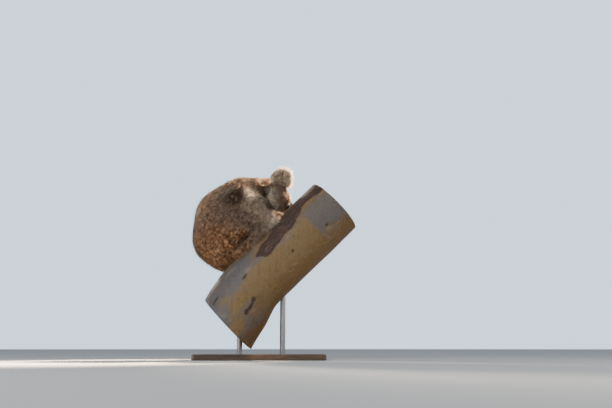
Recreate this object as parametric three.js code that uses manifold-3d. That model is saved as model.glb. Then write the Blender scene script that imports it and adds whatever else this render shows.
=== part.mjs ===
// A life-size koala, curled up on a short cut length of a leaning gum limb, on a display stand.
// Millimetres, +Z up. The origin is the middle of the base's underside. The limb leans in the XZ
// plane, its upper end towards +X, and the koala faces uphill, so its right side is towards -Y.
//
// The koala is shaped in a frame of its own: x runs uphill along the limb, y to the animal's left,
// and z out of the bark, from the line where its midline meets the bark.
import * as THREE from 'three';
import { LoftGeometry } from 'three/addons/geometries/LoftGeometry.js';
import { mergeVertices } from 'three/addons/utils/BufferGeometryUtils.js';
import Module from 'manifold-3d';

const wasm = await Module();
wasm.setup();

// ---- driving dimensions --------------------------------------------------------------------

const LEAN = 44.2;            // degrees from level to the limb's axis
const LIMB_RADIUS = 138;
const LIMB_FOOT = [ - 87, 0, 283 ]; // the middle of the limb under the koala's rump
const LIMB_LOW_END = - 135;   // along the limb from there
const LIMB_HIGH_END = 575;
const SWEEP = { from: 120, rate: 0.0006 };      // how the limb's low end droops
const SWELL = { from: 90, to: - 40, by: 11 };   // and how it thickens
const ROLL = 14;              // degrees that the koala sits round to the far side of the limb

const BASE_LENGTH = 560;
const BASE_WIDTH = 360;
const BASE_THICKNESS = 24;
const BASE_CORNER = 40;
const BASE_BEVEL = 3;
const ROD_RADIUS = 12;
const ROD_PLACES = [ - 96, 92 ]; // x of the rods

const GAP = 0.5;              // between pieces that meet

// How finely the sphere is divided that is wrapped on each form, and how far out it starts.
const DETAIL = { body: 6, bone: 2, neck: 3, head: 5, ear: 3, nose: 2, palm: 1 };
const REACH = { body: 420, bone: 320, neck: 150, head: 150, ear: 80, nose: 60, palm: 70 };

// ---- materials -----------------------------------------------------------------------------

const finish = ( color, roughness, metalness = 0 ) =>
	new THREE.MeshStandardMaterial( { color, roughness, metalness } );

const fur = finish( 0x7d6a5c, 0.95 );
const paleFur = finish( 0xb9a48c, 0.95 );
const noseSkin = finish( 0x1d1a1a, 0.55 );
const eyeGloss = finish( 0x2b1a10, 0.1 );
const horn = finish( 0x2a2522, 0.4 );
const bark = finish( 0xa79a82, 0.85 );
const timber = finish( 0x3a2c22, 0.6 );
const steel = finish( 0x8d9094, 0.35, 1 );

// ---- fields: each gives a point's distance to a surface, below zero inside ----------------------

const vec = ( p ) => new THREE.Vector3( ...p );
const mirrored = ( p, side ) => [ p[ 0 ], p[ 1 ] * side, p[ 2 ] ];
const midpoint = ( a, b ) => a.map( ( v, i ) => ( v + b[ i ] ) / 2 );

function ellipsoid( centre, radii ) {

	const c = vec( centre );
	const r = vec( radii );
	const r2 = r.clone().multiply( r );
	return ( p ) => {

		const q = p.clone().sub( c );
		const near = q.clone().divide( r ).length();
		return near * ( near - 1 ) / Math.max( q.divide( r2 ).length(), 1e-9 );

	};

}

function roundCone( from, to, fromRadius, toRadius ) {

	const a = vec( from );
	const along = vec( to ).sub( a );
	const length2 = along.lengthSq();
	return ( p ) => {

		const q = p.clone().sub( a );
		const t = THREE.MathUtils.clamp( q.dot( along ) / length2, 0, 1 );
		return q.addScaledVector( along, - t ).length() - THREE.MathUtils.lerp( fromRadius, toRadius, t );

	};

}

function blend( width, ...fields ) {

	return ( p ) => fields.map( ( field ) => field( p ) ).reduce( ( a, b ) => {

		const h = Math.max( width - Math.abs( a - b ), 0 ) / width;
		return Math.min( a, b ) - h * h * width / 4;

	} );

}

const grown = ( field, by ) => ( p ) => field( p ) - by;
const dished = ( field, hollow ) => ( p ) => Math.max( field( p ), - hollow( p ) );

// ---- solids --------------------------------------------------------------------------------

// Shrinks a sphere onto a field's surface, along rays towards its centre.
function wrap( field, centre, form ) {

	const STEP = 3;
	const HALVINGS = 12;
	const geometry = new THREE.IcosahedronGeometry( 1, DETAIL[ form ] );
	const position = geometry.getAttribute( 'position' );
	const origin = vec( centre );
	const ray = new THREE.Vector3();
	const point = ( t ) => origin.clone().addScaledVector( ray, t );
	for ( let i = 0; i < position.count; i ++ ) {

		ray.fromBufferAttribute( position, i ).normalize();
		let outside = REACH[ form ];
		while ( outside > STEP && field( point( outside - STEP ) ) > 0 ) outside -= STEP;
		let inside = outside - STEP;
		for ( let n = 0; n < HALVINGS; n ++ ) {

			const middle = ( inside + outside ) / 2;
			if ( field( point( middle ) ) > 0 ) outside = middle; else inside = middle;

		}

		position.setXYZ( i, ...point( outside ) );

	}

	return geometry;

}

function solid( geometry ) {

	const bare = new THREE.BufferGeometry().setAttribute( 'position', geometry.getAttribute( 'position' ) );
	if ( geometry.index ) bare.setIndex( geometry.index );
	const merged = mergeVertices( bare, 1e-3 );
	return new wasm.Manifold( new wasm.Mesh( {
		numProp: 3,
		vertProperties: merged.getAttribute( 'position' ).array,
		triVerts: new Uint32Array( merged.index.array ),
	} ) );

}

function geometryOf( body ) {

	const mesh = body.getMesh();
	return new THREE.BufferGeometry()
		.setAttribute( 'position', new THREE.BufferAttribute( mesh.vertProperties, 3 ) )
		.setIndex( new THREE.BufferAttribute( mesh.triVerts, 1 ) );

}

// A large block with one face through a point, on the side that the normal points to.
function halfSpace( point, normal, gap = 0 ) {

	const SIZE = 1200;
	const up = new THREE.Vector3( 0, 0, 1 );
	const turn = new THREE.Quaternion().setFromUnitVectors( up, vec( normal ).normalize() );
	const block = new THREE.BoxGeometry( SIZE, SIZE, SIZE )
		.translate( 0, 0, SIZE / 2 + gap )
		.applyQuaternion( turn )
		.translate( ...point );
	return solid( block );

}

const largest = ( body ) => body.decompose().sort( ( a, b ) => b.volume() - a.volume() )[ 0 ];

// A closed tube through circles, each given by its centre and radius, square to the line between them.
function tube( stations, sides ) {

	const centres = stations.map( ( s ) => vec( s.at ) );
	const sections = stations.map( ( s, i ) => {

		const before = centres[ Math.max( i - 1, 0 ) ];
		const after = centres[ Math.min( i + 1, centres.length - 1 ) ];
		const along = after.clone().sub( before ).normalize();
		const side = new THREE.Vector3( 0, 1, 0 ).addScaledVector( along, - along.y ).normalize();
		const up = along.clone().cross( side );
		return Array.from( { length: sides }, ( _, k ) => {

			const a = 2 * Math.PI * k / sides;
			return centres[ i ].clone()
				.addScaledVector( side, s.radius * Math.cos( a ) )
				.addScaledVector( up, s.radius * Math.sin( a ) );

		} );

	} );
	return new LoftGeometry( sections, { capStart: true, capEnd: true } );

}

// ---- the limb of gum tree, in a frame with x along it ----------------------------------------------

const LIMB_SIDES = 32;
const LIMB_STATIONS = 7;       // closer together towards the low end

// The limb is round. Its low end droops, and thickens on the underside.
function limbGeometry( extra = 0 ) {

	const section = ( x ) => {

		const droop = SWEEP.rate * Math.max( SWEEP.from - x, 0 ) ** 2;
		const swell = SWELL.by * THREE.MathUtils.smoothstep( - x, - SWELL.from, - SWELL.to );
		const radius = LIMB_RADIUS + swell + extra;
		return Array.from( { length: LIMB_SIDES }, ( _, k ) => {

			const a = 2 * Math.PI * k / LIMB_SIDES;
			return new THREE.Vector3( x, radius * Math.cos( a ), radius * Math.sin( a ) - droop - swell );

		} );

	};

	const places = Array.from( { length: LIMB_STATIONS + 1 }, ( _, i ) =>
		THREE.MathUtils.lerp( LIMB_LOW_END - extra, LIMB_HIGH_END + extra, ( i / LIMB_STATIONS ) ** 2 ) );
	return new LoftGeometry( places.map( section ), { capStart: true, capEnd: true } );

}

const koalaPlace = new THREE.Matrix4().makeRotationX( - THREE.MathUtils.degToRad( ROLL ) )
	.multiply( new THREE.Matrix4().makeTranslation( 0, 0, LIMB_RADIUS ) );
const barkClearance = solid( limbGeometry( 2 * GAP ).applyMatrix4( koalaPlace.clone().invert() ) );

// ---- the koala's body ------------------------------------------------------------------------

const torso = blend( 45,
	ellipsoid( [ 99, 0, 140 ], [ 129, 114, 132 ] ), // rump
	ellipsoid( [ 84, 0, 52 ], [ 90, 98, 70 ] ), // seat
	ellipsoid( [ 184, 0, 203 ], [ 141, 118, 148 ] ), // loin
	ellipsoid( [ 284, 0, 208 ], [ 112, 104, 118 ] ), // withers
	ellipsoid( [ 260, 0, 128 ], [ 90, 98, 96 ] ), // chest and belly
);

const NECK_FROM = [ 325, 0, 214 ];
const NECK_TO = [ 414, 0, 148 ];
const NECK_RADII = [ 87, 70 ];
const neck = roundCone( NECK_FROM, NECK_TO, ...NECK_RADII );

// Each limb's joints and place on the bark. The far limbs reach further round the limb of the tree.
const LIMBS = {
	right: {
		side: - 1,
		hip: [ 90, 68, 92 ], knee: [ 206, 92, 74 ], ankle: [ 156, 58, 34 ],
		shoulder: [ 294, 68, 176 ], elbow: [ 308, 94, 88 ], wrist: [ 320, 62, 36 ],
		foot: { x: 176, round: 8, turn: 0 }, hand: { x: 306, round: 9, turn: 0 },
	},
	left: {
		side: 1,
		hip: [ 90, 68, 92 ], knee: [ 202, 98, 84 ], ankle: [ 152, 84, 26 ],
		shoulder: [ 294, 68, 176 ], elbow: [ 304, 104, 84 ], wrist: [ 344, 84, 18 ],
		foot: { x: 206, round: 32, turn: 8 }, hand: { x: 372, round: 36, turn: 10 },
	},
};
const RADII = { hip: 82, knee: 62, ankle: 38, shoulder: 62, elbow: 54, wrist: 42 };

function segment( limb, from, to, extra = 0 ) {

	return roundCone( mirrored( limb[ from ], limb.side ), mirrored( limb[ to ], limb.side ),
		RADII[ from ] + extra, RADII[ to ] + extra );

}

const limbFields = Object.values( LIMBS ).flatMap( ( limb ) => [
	segment( limb, 'hip', 'knee' ), segment( limb, 'knee', 'ankle' ),
	segment( limb, 'shoulder', 'elbow' ), segment( limb, 'elbow', 'wrist' ),
] );
const bodyField = blend( 32, torso, neck, ...limbFields );
const BODY_CENTRE = [ 185, 0, 160 ];
const bodyWhole = solid( wrap( bodyField, BODY_CENTRE, 'body' ) );
const bodyGrown = solid( wrap( grown( bodyField, GAP ), BODY_CENTRE, 'body' ) );

const NECK_WAY = vec( NECK_TO ).sub( vec( NECK_FROM ) ).normalize().toArray();
const NECK_ROOT = [ 345, 0, 199 ];
const NECK_TOP = [ 388, 0, 167 ];
const NECK_MARGIN = 14;
const NECK_OVERRUN = 60;
const neckRegion = ( extra ) => solid( wrap(
	roundCone( NECK_FROM, NECK_TO.map( ( v, i ) => v + NECK_OVERRUN * NECK_WAY[ i ] ),
		...NECK_RADII.map( ( r ) => r + NECK_MARGIN + extra ) ),
	NECK_TO, 'bone' ) );
const body = bodyWhole.subtract( barkClearance )
	.subtract( neckRegion( GAP ).intersect( halfSpace( NECK_ROOT, NECK_WAY ) ) );

// A limb is cut out of the body round its bones, down to a plane beside the spine, and split at
// its knee or elbow.
const SKIN_MARGIN = 20;
const INNER_PLANE = 52;
const JOINT_SPLITS = {
	leg: { bones: [ 'hip', 'knee', 'ankle' ], parts: [ 'thigh', 'shin' ], way: [ 0.3, 0, - 0.95 ] },
	arm: { bones: [ 'shoulder', 'elbow', 'wrist' ], parts: [ 'upper_arm', 'forearm' ], way: [ 0.1, 0, - 1 ] },
};

function limbRegion( limb, bones, extra ) {

	const [ upper, lower ] = [ 0, 1 ].map( ( i ) => solid( wrap(
		segment( limb, bones[ i ], bones[ i + 1 ], SKIN_MARGIN + extra ),
		mirrored( midpoint( limb[ bones[ i ] ], limb[ bones[ i + 1 ] ] ), limb.side ), 'bone' ) ) );
	return upper.add( lower )
		.intersect( halfSpace( [ 0, INNER_PLANE * limb.side, 0 ], [ 0, limb.side, 0 ], - extra ) );

}

const bodyNodes = [];
let trunk = body;
for ( const [ name, limb ] of Object.entries( LIMBS ) ) {

	for ( const { bones, parts, way } of Object.values( JOINT_SPLITS ) ) {

		const [ root, bend ] = bones;
		const whole = largest( trunk.intersect( limbRegion( limb, bones, 0 ) ) );
		const bendAt = mirrored( limb[ bend ], limb.side );
		bodyNodes.push(
			{
				name: `${ parts[ 0 ] }_${ name }`,
				body: largest( whole.subtract( halfSpace( bendAt, way ) ) ),
				at: mirrored( limb[ root ], limb.side ),
			},
			{
				name: `${ parts[ 1 ] }_${ name }`,
				body: largest( whole.intersect( halfSpace( bendAt, way, GAP ) ) ),
				at: bendAt,
			},
		);
		trunk = largest( trunk.subtract( limbRegion( limb, bones, GAP ) ) );

	}

}

// The neck, between the trunk and the head.
const neckBody = largest( solid( wrap( bodyField, midpoint( NECK_ROOT, NECK_TOP ), 'neck' ) )
	.subtract( barkClearance )
	.intersect( halfSpace( NECK_ROOT, NECK_WAY, GAP ) )
	.intersect( neckRegion( 0 ) )
	.subtract( halfSpace( NECK_TOP, NECK_WAY ) ) );

// ---- the head, in a frame of its own: x to the nose, y left, z to the crown ---------------------

const HEAD_AT = [ 428, - 4, 106 ];
const HEAD_NOD = 86;          // degrees that the nose points below the line of the limb
const HEAD_TURN = 22;         // degrees that the crown turns to the left
const headPlace = new THREE.Matrix4().makeRotationZ( THREE.MathUtils.degToRad( HEAD_TURN ) )
	.multiply( new THREE.Matrix4().makeRotationY( THREE.MathUtils.degToRad( HEAD_NOD ) ) )
	.setPosition( ...HEAD_AT );
const toHead = headPlace.clone().invert();
const inHead = ( field ) => ( p ) => field( p.clone().applyMatrix4( headPlace ) );

const CHEEK = { at: [ 25, 36, - 23 ], size: [ 49, 36, 38 ] };
const headForm = blend( 24,
	ellipsoid( [ 0, 0, 0 ], [ 66, 60, 57 ] ), // cranium
	ellipsoid( CHEEK.at, CHEEK.size ),
	ellipsoid( mirrored( CHEEK.at, - 1 ), CHEEK.size ),
	ellipsoid( [ 38, 0, 12 ], [ 34, 31, 27 ] ), // brow
	ellipsoid( [ 56, 0, - 18 ], [ 34, 32, 29 ] ), // muzzle
	ellipsoid( [ 46, 0, - 38 ], [ 36, 28, 19 ] ), // chin
);
const headField = blend( 30, headForm, inHead( neck ) );
const HEAD_CENTRE = [ 12, 0, - 6 ];

const EYE = { at: [ 62, 27, 10 ], radius: 9 };
const NOSE_AT = [ 80, 0, - 2 ];
const noseField = blend( 8,
	ellipsoid( [ 81, 0, 4 ], [ 11, 15, 23 ] ), // bridge
	ellipsoid( [ 84, 0, - 12 ], [ 13, 20, 15 ] ), // nostrils
);
const noseForm = ( extra ) => solid( wrap( grown( noseField, extra ), NOSE_AT, 'nose' ) );
const eyeForm = ( side, extra ) => solid( new THREE.SphereGeometry( EYE.radius + extra, 10, 6 )
	.rotateX( Math.PI / 2 )
	.translate( ...mirrored( EYE.at, side ) ) );

const neckTopInHead = vec( NECK_TOP ).applyMatrix4( toHead ).toArray();
const neckWayInHead = vec( NECK_WAY ).transformDirection( toHead ).toArray();
const head = largest( solid( wrap( headField, HEAD_CENTRE, 'head' ) )
	.intersect( halfSpace( neckTopInHead, neckWayInHead, GAP ) )
	.subtract( noseForm( GAP ) )
	.subtract( eyeForm( - 1, GAP ) )
	.subtract( eyeForm( 1, GAP ) ) );

// Ears: furry dishes that face forward and out.
const EAR = { at: [ - 15, 77, 46 ], size: [ 23, 50, 49 ], lean: - 42, face: 38, back: - 8 };
const earField = dished(
	ellipsoid( [ 0, 0, 0 ], EAR.size ),
	ellipsoid( [ 26, 0, 2 ], [ 18, 31, 31 ] ),
);
const headGrown = solid( wrap( grown( headField, GAP ), HEAD_CENTRE, 'head' ) );

function earBody( side ) {

	const place = new THREE.Matrix4().makeRotationX( THREE.MathUtils.degToRad( EAR.lean * side ) )
		.multiply( new THREE.Matrix4().makeRotationZ( THREE.MathUtils.degToRad( EAR.face * side ) ) )
		.multiply( new THREE.Matrix4().makeRotationY( THREE.MathUtils.degToRad( EAR.back ) ) )
		.setPosition( ...mirrored( EAR.at, side ) );
	const dish = solid( wrap( earField, [ - 4, 0, 0 ], 'ear' ).applyMatrix4( place ) );
	return largest( dish.subtract( headGrown ) );

}

// ---- paws, in a frame of their own: x forward, z out of the bark ----------------------------------

const DIGIT = { sides: 6, base: 9.5, tip: 7.5 };
const CLAW = { sides: 5, radius: 3.6, length: 22, curl: 62, tip: 0.5, rise: 5.5, clear: 1.8 };
const HAND = {
	palm: { at: [ 0, 0, 15 ], size: [ 30, 26, 14 ] },
	digits: [
		{ root: [ 2, 20, 13 ], way: 58, length: 30, claw: true },
		{ root: [ 14, 15, 14 ], way: 30, length: 34, claw: true },
		{ root: [ 18, 2, 15 ], way: 2, length: 38, claw: true },
		{ root: [ 16, - 9, 15 ], way: - 10, length: 37, claw: true },
		{ root: [ 10, - 18, 13 ], way: - 24, length: 31, claw: true },
	],
};
const FOOT = {
	palm: { at: [ - 12, 0, 16 ], size: [ 46, 25, 15 ] },
	digits: [
		{ root: [ - 4, 18, 12 ], way: 62, length: 30, claw: false },
		{ root: [ 22, 13, 13 ], way: 20, length: 30, claw: true },
		{ root: [ 24, 4, 13 ], way: 10, length: 31, claw: true },
		{ root: [ 24, - 7, 14 ], way: - 4, length: 38, claw: true },
		{ root: [ 18, - 17, 13 ], way: - 18, length: 36, claw: true },
	],
};

// A digit humps up from the palm, and its fleshy tip comes down on the bark.
function digitGeometry( { root, length } ) {

	const TIP_ROUNDING = 0.62;
	const stations = [ 0, 0.8, 1 ].map( ( t ) => ( {
		at: [ root[ 0 ] + length * t, root[ 1 ], THREE.MathUtils.lerp( root[ 2 ], DIGIT.tip + 1, t * t ) ],
		radius: THREE.MathUtils.lerp( DIGIT.base, DIGIT.tip, t ) * ( t === 1 ? TIP_ROUNDING : 1 ),
	} ) );
	return tube( stations, DIGIT.sides );

}

// A claw leaves the digit's tip and curls down to a point on the bark.
function clawGeometry( { root, length } ) {

	const curl = THREE.MathUtils.degToRad( CLAW.curl );
	const bend = CLAW.length / curl;
	const stations = [ 0, 0.5, 1 ].map( ( t ) => ( {
		at: [
			root[ 0 ] + length + CLAW.clear + bend * Math.sin( curl * t ),
			root[ 1 ],
			DIGIT.tip + CLAW.rise - bend * ( 1 - Math.cos( curl * t ) ),
		],
		radius: THREE.MathUtils.lerp( CLAW.radius, CLAW.tip, t * t ),
	} ) );
	return tube( stations, CLAW.sides );

}

// Turns a digit or claw about its root to its own way out of the palm.
function splayed( geometry, { root, way } ) {

	return geometry
		.translate( - root[ 0 ], - root[ 1 ], 0 )
		.rotateZ( THREE.MathUtils.degToRad( way ) )
		.translate( root[ 0 ], root[ 1 ], 0 );

}

// The place on the bark of a paw, as a matrix in the koala's frame.
function onBark( { x, round, turn }, side ) {

	return new THREE.Matrix4().makeTranslation( 0, 0, - LIMB_RADIUS )
		.multiply( new THREE.Matrix4().makeRotationX( THREE.MathUtils.degToRad( - side * round ) ) )
		.multiply( new THREE.Matrix4().makeTranslation( x, 0, LIMB_RADIUS + 2 * GAP ) )
		.multiply( new THREE.Matrix4().makeRotationZ( THREE.MathUtils.degToRad( side * turn ) ) );

}

// Paws are shaped as the right one, with the thumb at +y. The left ones are mirrored.
function pawNodes( name, form, place, side ) {

	const matrix = onBark( place, side );
	const put = ( geometry ) => {

		const right = solid( geometry );
		return solid( geometryOf( side < 0 ? right : right.mirror( [ 0, 1, 0 ] ) ).applyMatrix4( matrix ) );

	};

	const palm = put( wrap( ellipsoid( form.palm.at, form.palm.size ), form.palm.at, 'palm' ) );
	const paw = form.digits
		.reduce( ( joined, digit ) => joined.add( put( splayed( digitGeometry( digit ), digit ) ) ), palm )
		.subtract( bodyGrown );
	const at = [ 0, 1, 2 ].map( ( i ) => matrix.elements[ 12 + i ] );
	return [
		{ name, body: largest( paw ), at, material: fur },
		...form.digits.filter( ( digit ) => digit.claw ).map( ( digit, i ) => ( {
			name: `${ name }_claw_${ i + 1 }`,
			body: largest( put( splayed( clawGeometry( digit ), digit ) ).subtract( bodyGrown ) ),
			at,
			material: horn,
		} ) ),
	];

}

// ---- the stand ---------------------------------------------------------------------------------------

function roundedPlate( length, width, corner ) {

	const shape = new THREE.Shape();
	const x = length / 2 - corner;
	const y = width / 2 - corner;
	shape.absarc( x, y, corner, 0, Math.PI / 2 );
	shape.absarc( - x, y, corner, Math.PI / 2, Math.PI );
	shape.absarc( - x, - y, corner, Math.PI, 3 * Math.PI / 2 );
	shape.absarc( x, - y, corner, 3 * Math.PI / 2, 2 * Math.PI );
	return shape;

}

function baseBody() {

	return solid( new THREE.ExtrudeGeometry(
		roundedPlate( BASE_LENGTH - 2 * BASE_BEVEL, BASE_WIDTH - 2 * BASE_BEVEL, BASE_CORNER - BASE_BEVEL ),
		{
			depth: BASE_THICKNESS - 2 * BASE_BEVEL, curveSegments: 3,
			bevelThickness: BASE_BEVEL, bevelSize: BASE_BEVEL, bevelSegments: 1,
		},
	).translate( 0, 0, BASE_BEVEL ) );

}

// A rod stands on the base and ends just under the bark.
function rodBody( x, barkInWorld ) {

	const LENGTH = 500;
	const SIDES = 16;
	const post = new THREE.CylinderGeometry( ROD_RADIUS, ROD_RADIUS, LENGTH, SIDES )
		.rotateX( Math.PI / 2 )
		.translate( x, 0, BASE_THICKNESS + GAP + LENGTH / 2 );
	const pieces = solid( post ).subtract( barkInWorld ).decompose();
	return pieces.sort( ( a, b ) => a.boundingBox().min[ 2 ] - b.boundingBox().min[ 2 ] )[ 0 ];

}

// ---- scene graph -----------------------------------------------------------------------------------

function node( name, body, material, at = [ 0, 0, 0 ] ) {

	const mesh = new THREE.Mesh( geometryOf( body ).translate( ...at.map( ( v ) => - v ) ), material );
	mesh.name = name;
	mesh.position.set( ...at );
	return mesh;

}

const headGroup = new THREE.Group();
headGroup.applyMatrix4( headPlace );
headGroup.add( node( 'head', head, fur ) );
headGroup.add( node( 'nose', noseForm( 0 ), noseSkin, NOSE_AT ) );

const koala = new THREE.Group();
koala.applyMatrix4( koalaPlace );
koala.add( node( 'trunk', trunk, fur, BODY_CENTRE ) );
koala.add( node( 'neck', neckBody, fur, midpoint( NECK_ROOT, NECK_TOP ) ) );
koala.add( headGroup );
for ( const part of bodyNodes ) koala.add( node( part.name, part.body, fur, part.at ) );

for ( const [ name, { side, hand, foot } ] of Object.entries( LIMBS ) ) {

	headGroup.add( node( `eye_${ name }`, eyeForm( side, 0 ), eyeGloss, mirrored( EYE.at, side ) ) );
	headGroup.add( node( `ear_${ name }`, earBody( side ), paleFur, mirrored( EAR.at, side ) ) );
	for ( const part of [
		...pawNodes( `hand_${ name }`, HAND, hand, side ),
		...pawNodes( `foot_${ name }`, FOOT, foot, side ),
	] ) koala.add( node( part.name, part.body, part.material, part.at ) );

}

const perch = new THREE.Group();
perch.position.set( ...LIMB_FOOT );
perch.rotation.y = - THREE.MathUtils.degToRad( LEAN );
perch.add( node( 'perch_limb', solid( limbGeometry() ), bark ) );
perch.add( koala );
perch.updateMatrix();

const barkInWorld = solid( limbGeometry( 2 * GAP ).applyMatrix4( perch.matrix ) );
const model = new THREE.Group();
model.add( perch );
model.add( node( 'stand_base', baseBody(), timber ) );
ROD_PLACES.forEach( ( x, i ) => {

	model.add( node( `stand_rod_${ i + 1 }`, rodBody( x, barkInWorld ), steel ) );

} );

export default model;
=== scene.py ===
import math

import bmesh
import bpy
import numpy as np
from bpy.props import FloatProperty, FloatVectorProperty, IntProperty, PointerProperty
from mathutils import Matrix, Vector, noise
from mathutils.bvhtree import BVHTree
from mathutils.kdtree import KDTree


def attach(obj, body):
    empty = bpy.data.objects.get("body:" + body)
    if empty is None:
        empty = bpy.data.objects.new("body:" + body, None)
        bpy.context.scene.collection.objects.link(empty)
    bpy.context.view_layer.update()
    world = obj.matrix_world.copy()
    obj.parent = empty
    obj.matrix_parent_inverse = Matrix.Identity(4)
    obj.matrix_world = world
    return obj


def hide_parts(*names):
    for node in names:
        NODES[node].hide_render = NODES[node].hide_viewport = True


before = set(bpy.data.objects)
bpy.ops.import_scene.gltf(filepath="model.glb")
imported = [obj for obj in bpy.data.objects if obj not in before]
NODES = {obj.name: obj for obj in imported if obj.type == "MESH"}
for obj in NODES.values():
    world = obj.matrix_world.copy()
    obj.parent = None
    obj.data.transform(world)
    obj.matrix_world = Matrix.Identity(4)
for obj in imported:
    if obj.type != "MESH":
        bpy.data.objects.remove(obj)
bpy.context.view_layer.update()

bl_info = {
    "name": "Koala on a limb",
    "version": (1, 0, 0),
    "blender": (4, 5, 0),
    "location": "3D View > Sidebar > Koala",
    "description": "Builds a life-size koala, curled up on a cut length of gum limb, over its packed solids",
    "category": "Object",
}

MM = 0.001
SEED = 41

# ---- places, repeated from the solids -----------------------------------------------------------

LEAN = 44.2
LIMB_RADIUS = 138
LIMB_ENDS = (-135, 575)
SWEEP_FROM, SWEEP_RATE = 120, 0.0006
SWELL_FROM, SWELL_TO, SWELL_BY = 90, -40, 11

EYE_AT, EYE_RADIUS = (62, 27, 10), 9
GAZE = (0.80, 0.60, 0.06)
EAR_AT, EAR_TURN = (-15, 77, 46), (-42, 38, -8)
NOSE_TIP = (93, 0, -8)


def turned(axis, degrees):
    return Matrix.Rotation(math.radians(degrees), 4, axis)


def moved(*millimetres):
    return Matrix.Translation(Vector(millimetres) * MM)


PERCH = moved(-87, 0, 283) @ turned("Y", -LEAN)
KOALA = PERCH @ turned("X", -14) @ moved(0, 0, LIMB_RADIUS)
HEAD = KOALA @ moved(428, -4, 106) @ turned("Z", 22) @ turned("Y", 86)


def ear_place(side):
    x, y, z = EAR_AT
    lean, face, back = EAR_TURN
    return (HEAD @ moved(x, y * side, z) @ turned("X", lean * side)
            @ turned("Z", face * side) @ turned("Y", back))


def into(place, points):
    """Points of the row frame, in metres, as millimetres in the frame of place."""
    inverse = np.array(place.inverted())
    return (points @ inverse[:3, :3].T + inverse[:3, 3]) / MM


def out_of(place, ways):
    """Directions in the frame of place, as directions in the row frame."""
    return np.asarray(ways, float) @ np.array(place)[:3, :3].T


def from_place(place, points):
    """Points in millimetres in the frame of place, as points of the row frame, in metres."""
    return out_of(place, points * MM) + np.array(place)[:3, 3]


def smooth(low, high, value):
    """0 at low and 1 at high, which may be the lesser, with a smooth step between."""
    t = np.clip((value - low) / (high - low), 0, 1)
    return t * t * (3 - 2 * t)


def bump(value, middle, width):
    """1 at the middle, falling to 0 at width from it."""
    return 1 - smooth(0, 1, np.abs(value - middle) / width)


def blob(x, y, centre, size):
    """A soft-edged oval mark."""
    return 1 - smooth(0.55, 1.25, np.hypot((x - centre[0]) / size[0], (y - centre[1]) / size[1]))


def tilted_blob(x, y, centre, size, lean):
    """A soft-edged oval mark that leans; lean is the cosine and the sine of its angle."""
    x, y = x - centre[0], y - centre[1]
    cosine, sine = lean
    return blob(x * cosine - y * sine, x * sine + y * cosine, (0, 0), size)


def unit(vectors):
    return vectors / np.maximum(np.linalg.norm(vectors, axis=-1, keepdims=True), 1e-9)


def eye_frame(side):
    """An eye's middle in head millimetres, and the ways outwards, left and up from it."""
    mirror = np.array([1, side, 1])
    gaze = unit(np.array(GAZE) * mirror)
    left = unit(np.cross([0.0, 0.0, 1.0], gaze))
    return np.array(EYE_AT, float) * mirror, gaze, left, np.cross(gaze, left)


# ---- shader maths -------------------------------------------------------------------------------


def both_ways(operation):
    """A Python operator and its reflected form, as methods that add a Math node."""
    def plain(self, other):
        return self.maths(operation, self, other)

    def reflected(self, other):
        return self.maths(operation, other, self)

    return plain, reflected


class Value:
    """A socket of a material, on which Python's arithmetic adds Math nodes."""

    def __init__(self, paint, socket):
        self.paint, self.socket = paint, socket

    def maths(self, operation, *operands, clamp=False):
        return self.paint.add("Math", {"operation": operation, "use_clamp": clamp},
                              dict(enumerate(operands)))

    __add__, __radd__ = both_ways("ADD")
    __sub__, __rsub__ = both_ways("SUBTRACT")
    __mul__, __rmul__ = both_ways("MULTIPLY")
    __truediv__, __rtruediv__ = both_ways("DIVIDE")
    __pow__, __rpow__ = both_ways("POWER")

    def __neg__(self):
        return self.maths("MULTIPLY", self, -1)

    def size(self):
        return self.maths("ABSOLUTE", self)

    def sine(self):
        return self.maths("SINE", self)

    def arctan(self, other):
        return self.maths("ARCTAN2", self, other)

    def most(self, other):
        return self.maths("MAXIMUM", self, other)

    def clamped(self):
        return self.maths("MULTIPLY", self, 1, clamp=True)

    def ease(self, low, high):
        """0 below low, 1 above high, with a smooth step between."""
        return self.paint.add("MapRange", {"interpolation_type": "SMOOTHSTEP"},
                              {"Value": self, "From Min": low, "From Max": high})

    def along(self, stops):
        """A grey ramp over this value: (place, level) pairs, both from 0 to 1."""
        return self.paint.add("ValToRGB", {"stops": [(p, (v, v, v, 1)) for p, v in stops]},
                              {"Fac": self})


def most_of(values):
    """The greatest of several values."""
    greatest, *others = values
    for value in others:
        greatest = greatest.most(value)
    return greatest


class Nodes:
    """A node tree, to which nodes are added."""

    def __init__(self, tree):
        self.tree = tree

    def _set(self, socket, value):
        if isinstance(value, Value):
            self.tree.links.new(value.socket, socket)
        elif socket.type == "RGBA" and len(value) == 3:
            socket.default_value = (*value, 1)
        else:
            socket.default_value = value

    def add(self, kind, settings=(), inputs=(), output=0):
        """A node of a kind: its settings go first, then the values or links of its sockets."""
        node = self.tree.nodes.new("ShaderNode" + kind)
        for key, value in dict(settings).items():
            if key == "stops":
                ramp = node.color_ramp
                while len(ramp.elements) < len(value):
                    ramp.elements.new(0.5)
                for element, (place, colour) in zip(ramp.elements, value):
                    element.position, element.color = place, colour
            else:
                setattr(node, key, value)
        for key, value in dict(inputs).items():
            self._set(node.inputs[key], value)
        return Value(self, node.outputs[output])


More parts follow.
